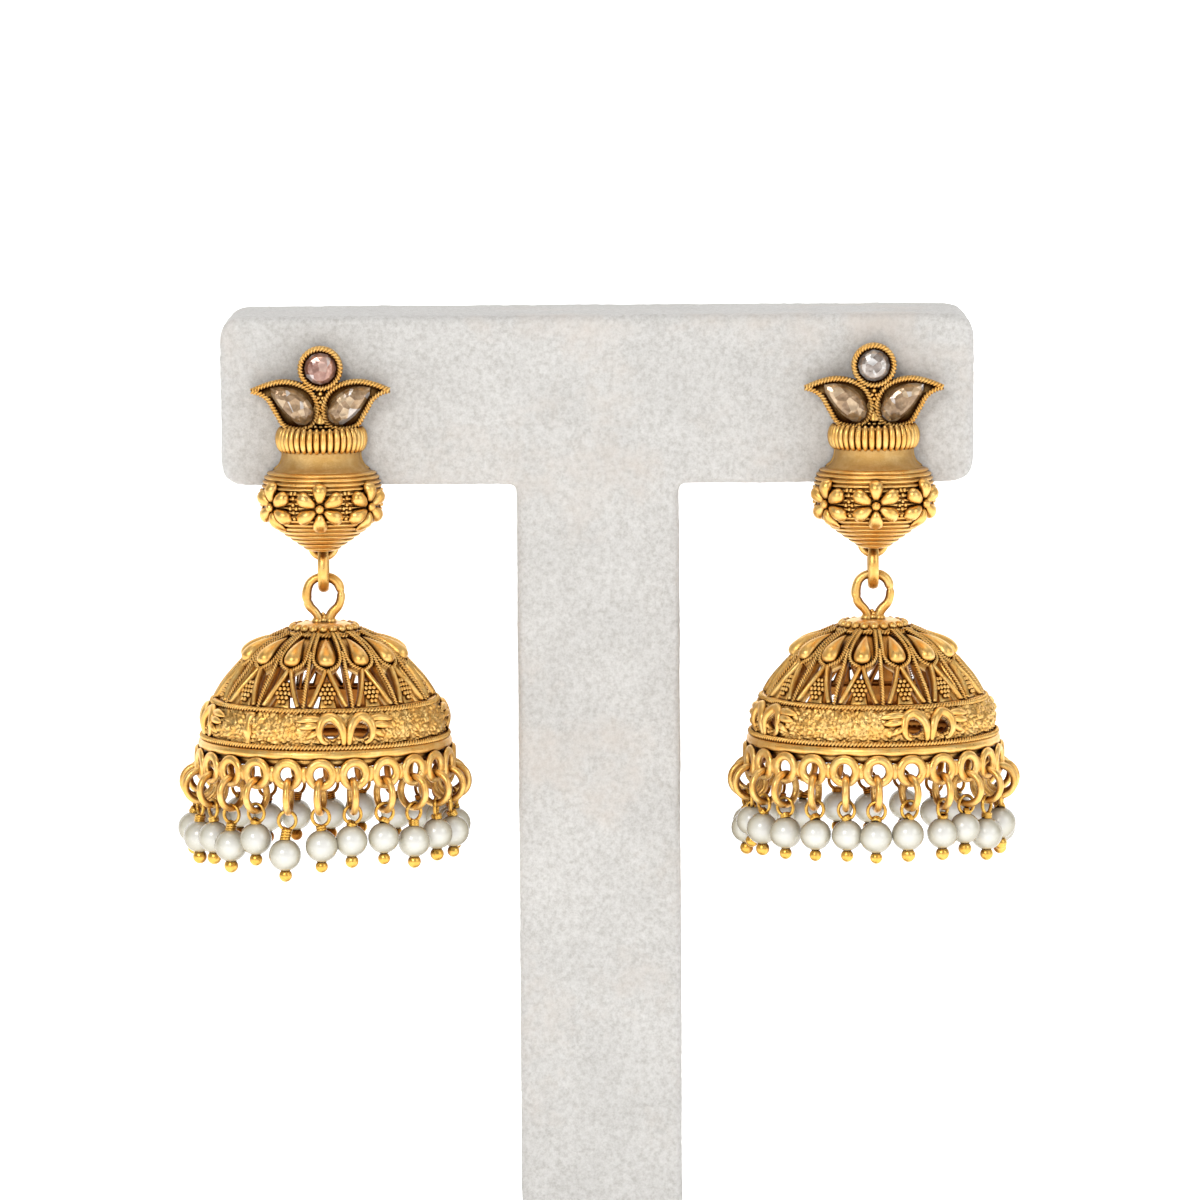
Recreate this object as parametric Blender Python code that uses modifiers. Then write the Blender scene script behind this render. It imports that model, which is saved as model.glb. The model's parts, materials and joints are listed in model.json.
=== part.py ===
"""A pair of jhumka earrings pinned to a velvet T-bar stand. Metres, +Z up, the front faces -Y."""

import math

import bmesh
import bpy
from mathutils import Matrix, Vector

# Clearances
GAP = 0.0003  # between a piece and what it plugs into, hangs on or rests on
STONE_GAP = 0.0002  # round a stone in its bezel
WELD = 0.00001
SPECK = 0.000002  # points closer than this are one point

# Stand
STAND_H = 0.114
BAR_W = 0.071
BAR_H = 0.016
BAR_D = 0.016
POST_W = 0.0153
BAR_CORNER_R = 0.002
POST_FILLET_R = 0.0009
EDGE_R = 0.0006
BASE_W = 0.064
BASE_D = 0.050
BASE_H = 0.008
BASE_EDGE_R = 0.0012
SOCKET_DEPTH = 0.003
ARC_STEPS = 3

# Stud: a half-round pot with a flat back, pinned to the bar behind its collar
EARRING_X = 0.026
PIN_DROP = 0.0115
PIN_R = 0.00045
PIN_LENGTH = 0.011
POT_R = 0.0056
POT_H = 0.0118
POT_STEPS = 10
COLLAR_TOP = 0.0012
FLOWER_R = 0.0024
FLOWER_STAND = 0.0003
FLOWER_Z = -0.0060
FLOWER_TURN = 52.0
FLOWER_PETALS = 6
BEZEL_DEPTH = 0.0018
BEZEL_WALL = 0.00055
POCKET_DEPTH = 0.0011
ROUND_STONE_R = 0.0015
ROUND_STONE_Z = 0.0067
ROUND_SIDES = 10
LEAF_LENGTH = 0.0062
LEAF_STONE_R = 0.0013
LEAF_STONE_LENGTH = 0.0045
LEAF_STONE_X = 0.0019
LEAF_STONE_Z = 0.0027
LEAF_TILT = 30.0
WEB_W = 0.0024
WEB_H = 0.0040
WEB_DEPTH = 0.0008
STONE_CROWN = 0.0008
STONE_PAVILION = 0.0006
TABLE_SHARE = 0.55

# Links between the stud and the bell
LOOP_BACK = 0.0024
LOOP_HOLE_R = 0.0008
LOOP_WIRE_R = 0.00035
LOOP_DROP = 0.01145
LUG_W = 0.0009
LUG_H = 0.0009
RING_HOLE_R = 0.00125
RING_WIRE_R = 0.00045
EYE_HOLE_R = 0.0011
EYE_WIRE_R = 0.0004
EYE_NECK = 0.0032
EYE_FEET = 0.0005
LINK_STEPS = 10
LINK_SIDES = 5
EYE_SIDES = 6

# Bell
BELL_R = 0.0120
BELL_H = 0.01175
BELL_WALL = 0.0007
PETALS = 14
STEPS_PER_PETAL = 1
SEAM_SHARE = 0.45  # where the turned wall's edges lie between two petals
PETAL_LENGTH = 0.0040
PETAL_WIDTH = 0.0017
PETAL_HEIGHT = 0.0014
PETAL_SIDES = 5
PETAL_DROP_SHARE = 0.225
CURL_PAIRS = 4
CURL_HOLE_R = 0.0009
CURL_SPREAD = 6.8
CURL_DROP_SHARE = 0.79
CURL_SIDES = 6
LEFT_PETAL_TURN = 3.6
RIGHT_PETAL_TURN = -10.0
LEFT_CURL_TURN = 12.0
RIGHT_CURL_TURN = 25.0

# Eyelet border of the rim and its pearl drops
DROPS = 24
BORDER_STAND = 0.0001  # how far the border's middle stands outside the bell's rim
BORDER_WALL = 0.0006
EYELET_HOLE_R = 0.0008
EYELET_R = 0.00135
EYELET_SIDES = 6
DROP_RING_R = 0.001475
DROP_WIRE_R = 0.00035
DROP_RING_STEPS = 10
DROP_WIRE_SIDES = 5
FUSE = 0.00015
PEARL_R = 0.0015
PEARL_DROP = 0.0045
PEARL_SIDES = 10
STEM_R = 0.00025
STEM_SIDES = 4

# Pot outline from the collar's top to the tip: share of POT_R, share of POT_H
POT_PROFILE = (
    (0.00, 0.000),
    (0.66, 0.000),
    (0.74, 0.030),
    (0.76, 0.102),
    (0.74, 0.170),
    (0.63, 0.205),
    (0.65, 0.280),
    (0.84, 0.365),
    (0.97, 0.450),
    (1.00, 0.580),
    (0.96, 0.700),
    (0.74, 0.850),
    (0.46, 0.950),
    (0.22, 1.000),
    (0.00, 1.000),
)

# Bell outline from the cap to the rim: share of BELL_R, share of BELL_H, whether the inside follows it
BELL_PROFILE = (
    (0.000, 0.000, True),
    (0.300, 0.000, False),
    (0.3125, 0.090, True),
    (0.680, 0.290, True),
    (0.880, 0.620, True),
    (0.965, 0.800, False),
    (0.960, 0.890, True),
    (1.000, 0.930, False),
    (1.000, 1.000, True),
)

# A pearl's outline from its top to its bottom: share of PEARL_R across, share of it up
PEARL_PROFILE = ((0.0, 1.0), (0.90, 0.50), (0.90, -0.50), (0.0, -1.0))

# Gaps of the dome: share of the petal pitch, share of BELL_H
GAP_UNDER_PETAL = ((0.00, 0.395), (0.31, 0.575), (-0.31, 0.575))
GAP_BETWEEN_PETALS = ((0.00, 0.180), (0.34, 0.345), (0.07, 0.575), (-0.07, 0.575), (-0.34, 0.345))

# Half of a leaf bezel's outline from its tip to its round end: share of LEAF_LENGTH along, share across
LEAF_OUTLINE = ((-0.66, 0.0), (-0.36, 0.17), (0.0, 0.29), (0.24, 0.25), (0.36, 0.09))

# Half of a teardrop stone's outline: share of LEAF_STONE_LENGTH along, share of LEAF_STONE_R across
DROP_OUTLINE = ((-0.70, 0.0), (-0.38, 0.52), (0.0, 0.96), (0.20, 0.82), (0.30, 0.30))

# Places worked out from the sizes
PIN_Z = STAND_H - PIN_DROP
BACK_Y = -BAR_D / 2 - GAP
LOOP_Y = BACK_Y + LOOP_BACK
POT_TOP = PIN_Z + COLLAR_TOP
BORDER_R = BELL_R + BORDER_STAND
SWING_Z = PIN_Z - LOOP_DROP
LOOP_R = LOOP_HOLE_R + LOOP_WIRE_R
RING_R = RING_HOLE_R + RING_WIRE_R
RING_Z = SWING_Z + LOOP_WIRE_R + GAP - RING_HOLE_R
TILT_Z = RING_Z - RING_R
EYE_R = EYE_HOLE_R + EYE_WIRE_R
EYE_Z = TILT_Z + RING_WIRE_R + GAP - EYE_HOLE_R
BELL_TOP = EYE_Z - EYE_NECK
RIM_Z = BELL_TOP - BELL_H
EYELET_Z = RIM_Z - GAP - EYELET_R
DROP_RING_Z = EYELET_Z - EYELET_HOLE_R + DROP_WIRE_R - FUSE - DROP_RING_R
PEARL_Z = DROP_RING_Z - PEARL_DROP
PETAL_PITCH = 360.0 / PETALS

PARTS = "jhumka_earrings_on_stand"
CUTTERS = "cutters"


def start_scene():
    """Empty the scene and make the two collections."""
    for old in list(bpy.data.objects):
        bpy.data.objects.remove(old, do_unlink=True)
    for name in (PARTS, CUTTERS):
        bpy.context.scene.collection.children.link(bpy.data.collections.new(name))


def material(name, colour, metallic, roughness):
    """A Principled material with one colour."""
    made = bpy.data.materials.new(name)
    made.use_nodes = True
    shader = made.node_tree.nodes["Principled BSDF"]
    shader.inputs["Base Color"].default_value = (*colour, 1.0)
    shader.inputs["Metallic"].default_value = metallic
    shader.inputs["Roughness"].default_value = roughness
    return made


def add_object(name, mesh):
    """Put a mesh into the parts' collection."""
    obj = bpy.data.objects.new(name, mesh)
    bpy.data.collections[PARTS].objects.link(obj)
    return obj


def from_bmesh(name, bm):
    """An object of a bmesh, with its faces pointing out."""
    bmesh.ops.recalc_face_normals(bm, faces=bm.faces)
    mesh = bpy.data.meshes.new(name)
    bm.to_mesh(mesh)
    bm.free()
    return add_object(name, mesh)


def bake(obj):
    """Replace an object's mesh by its evaluated one."""
    graph = bpy.context.evaluated_depsgraph_get()
    mesh = bpy.data.meshes.new_from_object(obj.evaluated_get(graph))
    obj.modifiers.clear()
    obj.data = mesh
    return obj


def close_up(obj):
    """Weld a mesh's specks after a Boolean, and close the slivers that they leave open."""
    bm = bmesh.new()
    bm.from_mesh(obj.data)
    bmesh.ops.remove_doubles(bm, verts=bm.verts, dist=SPECK)
    bmesh.ops.dissolve_degenerate(bm, edges=bm.edges, dist=SPECK)
    bmesh.ops.holes_fill(bm, edges=[edge for edge in bm.edges if edge.is_boundary], sides=4)
    bm.to_mesh(obj.data)
    bm.free()
    return obj


def fuse(target, *pieces):
    """Join pieces onto a target with an exact union, and remove them."""
    for piece in pieces:
        boolean = target.modifiers.new("fuse", "BOOLEAN")
        boolean.operation = "UNION"
        boolean.object = piece
        close_up(bake(target))
        bpy.data.objects.remove(piece, do_unlink=True)
    return target


def cut(target, cutter):
    """Cut a cutter out of a target, and keep the cutter in its own collection."""
    boolean = target.modifiers.new("cut", "BOOLEAN")
    boolean.operation = "DIFFERENCE"
    boolean.object = cutter
    close_up(bake(target))
    bpy.data.collections[PARTS].objects.unlink(cutter)
    bpy.data.collections[CUTTERS].objects.link(cutter)
    cutter.hide_render = True
    cutter.display_type = "WIRE"
    return target


def box(name, low, high):
    """A box between two corners."""
    bm = bmesh.new()
    size = Vector(high) - Vector(low)
    middle = (Vector(high) + Vector(low)) / 2
    place = Matrix.Translation(middle) @ Matrix.Diagonal((*size, 1.0))
    bmesh.ops.create_cube(bm, size=1.0, matrix=place)
    return from_bmesh(name, bm)


def rod(name, start, end, radius, sides):
    """A straight round rod between two points."""
    bm = bmesh.new()
    along = Vector(end) - Vector(start)
    turn = along.to_track_quat("Z", "Y").to_matrix().to_4x4()
    place = Matrix.Translation((Vector(start) + Vector(end)) / 2) @ turn
    bmesh.ops.create_cone(
        bm, cap_ends=True, segments=sides, radius1=radius, radius2=radius, depth=along.length, matrix=place
    )
    return from_bmesh(name, bm)


def ring(name, radius, wire_radius, steps, sides, place):
    """A torus in the place's XY plane, with the middle of a segment on each axis."""
    bpy.ops.mesh.primitive_torus_add(
        major_segments=steps, minor_segments=sides, major_radius=radius, minor_radius=wire_radius
    )
    made = bpy.context.object
    made.name = name
    made.data.transform(place @ Matrix.Rotation(math.pi / steps, 4, "Z"))
    for holder in list(made.users_collection):
        holder.objects.unlink(made)
    bpy.data.collections[PARTS].objects.link(made)
    return made


def wire(name, points, radius):
    """A bent wire through points, as a mesh."""
    data = bpy.data.curves.new(name, "CURVE")
    data.dimensions = "3D"
    data.bevel_depth = radius
    data.bevel_resolution = EYE_SIDES // 2 - 2
    data.use_fill_caps = True
    spline = data.splines.new("POLY")
    spline.points.add(len(points) - 1)
    for slot, point in zip(spline.points, points):
        slot.co = (*point, 1.0)
    return curve_to_mesh(name, data, Matrix.Identity(4))


def curve_to_mesh(name, data, place):
    """Turn a curve into a welded mesh object."""
    holder = add_object(name + "_curve", data)
    holder.matrix_world = place
    graph = bpy.context.evaluated_depsgraph_get()
    mesh = bpy.data.meshes.new_from_object(holder.evaluated_get(graph))
    mesh.transform(place)
    bpy.data.objects.remove(holder, do_unlink=True)
    bm = bmesh.new()
    bm.from_mesh(mesh)
    bmesh.ops.remove_doubles(bm, verts=bm.verts, dist=WELD)
    return from_bmesh(name, bm)


def turned(name, profile, steps, angle=math.tau):
    """A profile of (radius, height) turned about the Z axis, from +X."""
    mesh = bpy.data.meshes.new(name)
    points = [(radius, 0.0, height) for radius, height in profile]
    edges = [(index, index + 1) for index in range(len(points) - 1)]
    mesh.from_pydata(points, edges, [])
    made = add_object(name, mesh)
    screw = made.modifiers.new("turn", "SCREW")
    screw.angle = angle
    screw.steps = steps
    screw.render_steps = steps
    screw.use_merge_vertices = True
    screw.merge_threshold = WELD
    return made


def turned_solid(name, profile, steps):
    """A closed section turned all the way round, as a welded mesh object."""
    made = bake(turned(name, profile, steps))
    bm = bmesh.new()
    bm.from_mesh(made.data)
    bmesh.ops.remove_doubles(bm, verts=bm.verts, dist=WELD)
    bpy.data.objects.remove(made, do_unlink=True)
    return from_bmesh(name, bm)


def prism(name, outline, front, back):
    """A flat outline of (x, z) points, extruded along Y from the front to the back."""
    bm = bmesh.new()
    face = bm.faces.new([bm.verts.new((across, front, up)) for across, up in outline])
    grown = bmesh.ops.extrude_face_region(bm, geom=[face])
    moved = [item for item in grown["geom"] if isinstance(item, bmesh.types.BMVert)]
    bmesh.ops.translate(bm, verts=moved, vec=(0.0, back - front, 0.0))
    return from_bmesh(name, bm)


def arc(centre, radius, first, last, steps):
    """Points on a round corner, between two angles in degrees."""
    points = []
    for index in range(steps + 1):
        angle = math.radians(first + (last - first) * index / steps)
        points.append((centre[0] + radius * math.cos(angle), centre[1] + radius * math.sin(angle)))
    return points


def toward(angle):
    """The level direction at an angle in degrees from the front, positive to +X."""
    return Vector((math.sin(math.radians(angle)), -math.cos(math.radians(angle)), 0.0))


def joined(name, pieces):
    """Several objects that don't overlap, as one object of separate bodies."""
    bm = bmesh.new()
    for piece in pieces:
        bm.from_mesh(piece.data)
        bpy.data.objects.remove(piece, do_unlink=True)
    return from_bmesh(name, bm)


def move(obj, place):
    """Move an object's mesh by a matrix."""
    obj.data.transform(place)
    return obj


def cone_cutter(name, points, apex, inner, outer):
    """A cutter that widens from an apex through an outline, between two shares of the way."""
    bm = bmesh.new()
    near = [bm.verts.new(apex + (point - apex) * inner) for point in points]
    far = [bm.verts.new(apex + (point - apex) * outer) for point in points]
    count = len(points)
    for index in range(count):
        after = (index + 1) % count
        bm.faces.new((near[index], near[after], far[after], far[index]))
    bm.faces.new(near)
    bm.faces.new(far)
    return from_bmesh(name, bm)


def stand_tee():
    """The velvet bar and post, with rounded corners and a hole for each ear post."""
    bottom = BASE_H - SOCKET_DEPTH + GAP
    half_bar = BAR_W / 2
    half_post = POST_W / 2
    under = STAND_H - BAR_H
    corner = BAR_CORNER_R
    fillet = POST_FILLET_R
    right = [(half_post, bottom)]
    right += arc((half_post + fillet, under - fillet), fillet, 180, 90, ARC_STEPS)
    right += arc((half_bar - corner, under + corner), corner, -90, 0, ARC_STEPS)
    right += arc((half_bar - corner, STAND_H - corner), corner, 0, 90, ARC_STEPS)
    outline = right + [(-across, up) for across, up in reversed(right)]
    tee = prism("stand_tee", outline, -BAR_D / 2, BAR_D / 2)
    soften = tee.modifiers.new("soft_edges", "BEVEL")
    soften.width = EDGE_R
    soften.segments = 1
    soften.limit_method = "ANGLE"
    soften.angle_limit = math.radians(60.0)
    bake(tee)
    hole_end = BACK_Y + PIN_LENGTH + GAP
    for side in (-1, 1):
        start = (side * EARRING_X, -BAR_D, PIN_Z)
        end = (side * EARRING_X, hole_end, PIN_Z)
        cut(tee, rod("pin_hole", start, end, PIN_R + GAP, ROUND_SIDES // 2))
    return tee


def stand_base():
    """The foot, with the socket that the post plugs into."""
    base = box("stand_base", (-BASE_W / 2, -BASE_D / 2, 0.0), (BASE_W / 2, BASE_D / 2, BASE_H))
    soften = base.modifiers.new("soft_edges", "BEVEL")
    soften.width = BASE_EDGE_R
    soften.segments = 1
    bake(base)
    half_x = POST_W / 2 + GAP
    half_y = BAR_D / 2 + GAP
    socket = box("socket", (-half_x, -half_y, BASE_H - SOCKET_DEPTH), (half_x, half_y, BASE_H * 2))
    return cut(base, socket)


def mirrored(half, along_scale, across_scale):
    """A closed outline from its half, whose first and last rows lie on or beside the middle line."""
    upper = [(along * along_scale, across * across_scale) for along, across in half]
    lower = [(along, -across) for along, across in reversed(upper) if across > WELD]
    return upper + lower


def leaf_frame(side):
    """Turn (along, across) shares of a leaf into (x, z), pointing out and up on one side."""
    tilt = math.radians(LEAF_TILT)
    centre = (side * LEAF_STONE_X, PIN_Z + LEAF_STONE_Z)

    def place(point):
        along, across = point
        out = -along * math.cos(tilt) + across * math.sin(tilt)
        up = -along * math.sin(tilt) - across * math.cos(tilt)
        return (centre[0] + side * out, centre[1] + up)

    return place


def round_outline(radius, sides):
    """A circle of (x, z) points round the round stone's middle."""
    return arc((0.0, PIN_Z + ROUND_STONE_Z), radius, 0, 360 - 360 / sides, sides - 1)


def widened(outline, scale_from, extra):
    """An outline with each point moved away from a middle point by an extra distance."""
    moved = []
    for point in outline:
        away = Vector(point) - Vector(scale_from)
        moved.append(tuple(Vector(scale_from) + away * (1.0 + extra / away.length)))
    return moved


def flower_outline():
    """The petals of a flower, each a peak with a valley after it."""
    points = []
    step = 360.0 / FLOWER_PETALS
    for index in range(FLOWER_PETALS):
        for share, reach in ((0.0, 1.0), (0.5, 0.55)):
            angle = math.radians(90.0 + step * (index + share))
            points.append((FLOWER_R * reach * math.cos(angle), FLOWER_R * reach * math.sin(angle)))
    return points


def stud_body():
    """One stud at X = 0: pot, flowers, bezels, web, hanging loop and ear post, soldered together."""
    profile = [(POT_R * across, POT_TOP - POT_H * down) for across, down in POT_PROFILE]
    pot = bake(turned("stud", profile, POT_STEPS, math.pi))
    bm = bmesh.new()
    bm.from_mesh(pot.data)
    bmesh.ops.remove_doubles(bm, verts=bm.verts, dist=WELD)
    bmesh.ops.holes_fill(bm, edges=[edge for edge in bm.edges if edge.is_boundary], sides=0)
    bpy.data.objects.remove(pot, do_unlink=True)
    stud = from_bmesh("stud", bm)
    move(stud, Matrix.Translation((0.0, BACK_Y, 0.0)) @ Matrix.Rotation(math.pi, 4, "Z"))

    front = BACK_Y - BEZEL_DEPTH
    pocket = front + POCKET_DEPTH
    pieces = []
    web_top = PIN_Z + ROUND_STONE_Z - ROUND_STONE_R
    pieces.append(
        box("web", (-WEB_W / 2, BACK_Y - WEB_DEPTH, web_top - WEB_H), (WEB_W / 2, BACK_Y, web_top))
    )
    bezel_r = ROUND_STONE_R + STONE_GAP + BEZEL_WALL
    pieces.append(prism("round_bezel", round_outline(bezel_r, ROUND_SIDES), front, BACK_Y))
    for side in (-1, 1):
        place = leaf_frame(side)
        outline = [place(point) for point in mirrored(LEAF_OUTLINE, LEAF_LENGTH, LEAF_LENGTH)]
        pieces.append(prism("leaf_bezel", outline, front, BACK_Y))
    for index in (-1, 0, 1):
        turn = Matrix.Rotation(math.radians(FLOWER_TURN * index), 4, "Z")
        flower = prism("flower", flower_outline(), -POT_R - FLOWER_STAND, -POT_R / 2)
        pieces.append(move(flower, Matrix.Translation((0.0, BACK_Y, PIN_Z + FLOWER_Z)) @ turn))
    loop_z = SWING_Z + LOOP_R
    upright = Matrix.Translation((0.0, LOOP_Y, loop_z)) @ Matrix.Rotation(math.radians(90), 4, "X")
    lug_low = loop_z + LOOP_HOLE_R
    pieces.append(
        box("lug", (-LUG_W / 2, BACK_Y - LUG_H, lug_low), (LUG_W / 2, LOOP_Y, lug_low + LUG_H))
    )
    pieces.append(ring("loop", LOOP_R, LOOP_WIRE_R, LINK_STEPS, LINK_SIDES, upright))
    start = (0.0, BACK_Y - PIN_R, PIN_Z)
    pieces.append(rod("ear_post", start, (0.0, BACK_Y + PIN_LENGTH, PIN_Z), PIN_R, ROUND_SIDES // 2))
    fuse(stud, *pieces)

    wide = ROUND_STONE_R + STONE_GAP
    cut(stud, prism("round_pocket", round_outline(wide, ROUND_SIDES), front - BEZEL_DEPTH, pocket))
    for side in (-1, 1):
        outline = widened(leaf_stone_outline(side), leaf_frame(side)((0.0, 0.0)), STONE_GAP)
        cut(stud, prism("leaf_pocket", outline, front - BEZEL_DEPTH, pocket))
    return stud


def leaf_stone_outline(side):
    """The girdle of a teardrop stone, in (x, z)."""
    place = leaf_frame(side)
    return [place(point) for point in mirrored(DROP_OUTLINE, LEAF_STONE_LENGTH, LEAF_STONE_R)]


def cut_stone(name, outline, middle):
    """A faceted stone: a table, a crown, a girdle and a flat-bottomed pavilion."""
    girdle_y = BACK_Y - BEZEL_DEPTH + POCKET_DEPTH - GAP - STONE_PAVILION
    levels = (
        (girdle_y + STONE_PAVILION, TABLE_SHARE),
        (girdle_y, 1.0),
        (girdle_y - STONE_CROWN, TABLE_SHARE),
    )
    bm = bmesh.new()
    rows = []
    for depth, share in levels:
        row = []
        for across, up in outline:
            reach = ((across - middle[0]) * share, (up - middle[1]) * share)
            row.append(bm.verts.new((middle[0] + reach[0], depth, middle[1] + reach[1])))
        rows.append(row)
    count = len(outline)
    for lower, upper in zip(rows, rows[1:]):
        for index in range(count):
            after = (index + 1) % count
            bm.faces.new((lower[index], lower[after], upper[after], upper[index]))
    bm.faces.new(rows[0])
    bm.faces.new(rows[-1])
    return from_bmesh(name, bm)


def bell_section():
    """The bell's wall in section: the outside down to the rim, then the inside back up to the axis."""
    outside = [Vector((BELL_R * across, BELL_TOP - BELL_H * down)) for across, down, follows in BELL_PROFILE]
    inside = []
    for index, (across, down, follows) in enumerate(BELL_PROFILE):
        before = outside[max(index - 1, 0)]
        after = outside[min(index + 1, len(outside) - 1)]
        slope = (after - before).normalized()
        inward = Vector((slope.y, -slope.x))
        if across == 0.0:
            inward = Vector((0.0, -1.0))
        if down == 1.0:
            inward = Vector((-1.0, 0.0))
        if follows:
            inside.append(outside[index] + inward * BELL_WALL)
    return outside + inside[::-1]


def on_bell(drop_share):
    """Radius and height of the bell's outside at a share of its height below the cap."""
    for (radius_a, down_a, _), (radius_b, down_b, _) in zip(BELL_PROFILE, BELL_PROFILE[1:]):
        if down_a <= drop_share <= down_b and down_b > down_a:
            share = (drop_share - down_a) / (down_b - down_a)
            radius = radius_a + (radius_b - radius_a) * share
            return BELL_R * radius, BELL_TOP - BELL_H * drop_share
    return BELL_R, RIM_Z


def dome_point(turn, drop_share):
    """A point on the bell's outside, with the bell's axis at X = 0."""
    radius, height = on_bell(drop_share)
    return toward(turn) * radius + Vector((0.0, 0.0, height))


def petal(turn):
    """A raised teardrop on the dome, along its slope."""
    bm = bmesh.new()
    bmesh.ops.create_cone(bm, cap_ends=True, segments=PETAL_SIDES, radius1=0.5, radius2=0.2, depth=1.0)
    along = (dome_point(turn, PETAL_DROP_SHARE + 0.1) - dome_point(turn, PETAL_DROP_SHARE - 0.1)).normalized()
    across = toward(turn + 90.0)
    normal = across.cross(along)
    if normal.z < 0.0:
        normal = -normal
    frame = Matrix((across, along, normal)).transposed().to_4x4()
    size = Matrix.Diagonal((PETAL_WIDTH, PETAL_LENGTH, PETAL_HEIGHT, 1.0))
    bm.transform(Matrix.Translation(dome_point(turn, PETAL_DROP_SHARE)) @ frame @ size)
    return from_bmesh("petal", bm)


def eye():
    """The bell's eye: a round loop whose two ends run down into the cap."""
    arms = [(EYE_FEET, BELL_TOP - BELL_WALL / 2), (EYE_FEET, BELL_TOP + EYE_NECK / 3)]
    loop = arc((0.0, EYE_Z), EYE_R, -50, 230, LINK_STEPS)
    outline = arms + loop + [(-across, up) for across, up in reversed(arms)]
    return wire("eye", [(across, 0.0, up) for across, up in outline], EYE_WIRE_R)


def bell_body(petal_turn, curl_turn):
    """One bell about X = 0, Y = 0: pierced dome, petals, band with curl holes, strip and eye."""
    bell = turned_solid("bell", bell_section(), PETALS * STEPS_PER_PETAL)
    move(bell, Matrix.Rotation(math.radians(petal_turn - 90.0 + PETAL_PITCH * SEAM_SHARE), 4, "Z"))
    fuse(bell, joined("petals", [petal(petal_turn + PETAL_PITCH * index) for index in range(PETALS)]))

    apex = Vector((0.0, 0.0, BELL_TOP - BELL_H * 0.62))
    cutters = []
    for index in range(PETALS):
        for shift, gap in ((0.0, GAP_UNDER_PETAL), (0.5, GAP_BETWEEN_PETALS)):
            turn = petal_turn + PETAL_PITCH * (index + shift)
            points = [dome_point(turn + PETAL_PITCH * share, down) for share, down in gap]
            cutters.append(cone_cutter("gap", points, apex, 0.75, 1.2))
    for index in range(CURL_PAIRS):
        for side in (-1, 1):
            turn = curl_turn + 360.0 / CURL_PAIRS * index + CURL_SPREAD * side
            cutters.append(round_cutter(turn, on_bell(CURL_DROP_SHARE), CURL_HOLE_R, CURL_SIDES))
    cut(bell, joined("bell_gaps", cutters))
    return fuse(bell, eye())


def round_cutter(turn, place, radius, sides):
    """A level round cutter through a wall at a turn, radius and height."""
    reach, height = place
    start = toward(turn) * (reach - BELL_WALL * 3) + Vector((0.0, 0.0, height))
    end = toward(turn) * (reach + BELL_WALL * 3) + Vector((0.0, 0.0, height))
    return rod("hole", start, end, radius, sides)


def drop():
    """One drop in front of the axis: its jump ring, stem and pearl, fused."""
    turn = Matrix.Rotation(math.radians(90.0), 4, "Y")
    link = ring(
        "drop",
        DROP_RING_R,
        DROP_WIRE_R,
        DROP_RING_STEPS,
        DROP_WIRE_SIDES,
        Matrix.Translation((0.0, -BORDER_R, DROP_RING_Z)) @ turn,
    )
    profile = [(PEARL_R * across, PEARL_R * up) for across, up in PEARL_PROFILE]
    pearl = turned_solid("pearl", profile, PEARL_SIDES)
    move(pearl, Matrix.Translation((0.0, -BORDER_R, PEARL_Z)))
    start = (0.0, -BORDER_R, DROP_RING_Z - DROP_RING_R)
    end = (0.0, -BORDER_R, PEARL_Z + PEARL_R / 2)
    return fuse(link, rod("stem", start, end, STEM_R, STEM_SIDES), pearl)


def fringe_body():
    """The rim's eyelet border with a pearl drop fused into each eyelet, about X = 0, Y = 0."""
    top = RIM_Z - GAP
    bottom = EYELET_Z - EYELET_R
    outer = BORDER_R + BORDER_WALL / 2
    inner = BORDER_R - BORDER_WALL / 2
    profile = [(inner, top), (outer, top), (outer, bottom), (inner, bottom), (inner, top)]
    border = turned_solid("fringe", profile, DROPS)
    pitch = 360.0 / DROPS
    move(border, Matrix.Rotation(math.radians(pitch / 2), 4, "Z"))
    holes = []
    for index in range(DROPS):
        place = (BORDER_R, EYELET_Z)
        holes.append(round_cutter(pitch * index, place, EYELET_HOLE_R, EYELET_SIDES))
    cut(border, joined("eyelet_holes", holes))
    first = drop()
    drops = []
    for index in range(DROPS):
        turn = Matrix.Rotation(math.radians(pitch * index), 4, "Z")
        drops.append(move(add_object("drop_copy", first.data.copy()), turn))
    bpy.data.objects.remove(first, do_unlink=True)
    return fuse(border, joined("drops", drops))


def finish_piece(obj, name, finish, origin, parent=None):
    """Name a piece, give it a material and put its origin at a point of its parent's frame."""
    obj.name = name
    obj.data.materials.clear()
    obj.data.materials.append(finish)
    for face in obj.data.polygons:
        face.material_index = 0
    place = Vector(origin)
    obj.data.transform(Matrix.Translation(-place))
    obj.location = place
    if parent is not None:
        obj.parent = parent
        obj.location = place - parent.matrix_world.translation
    bpy.context.view_layer.update()
    return obj


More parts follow.
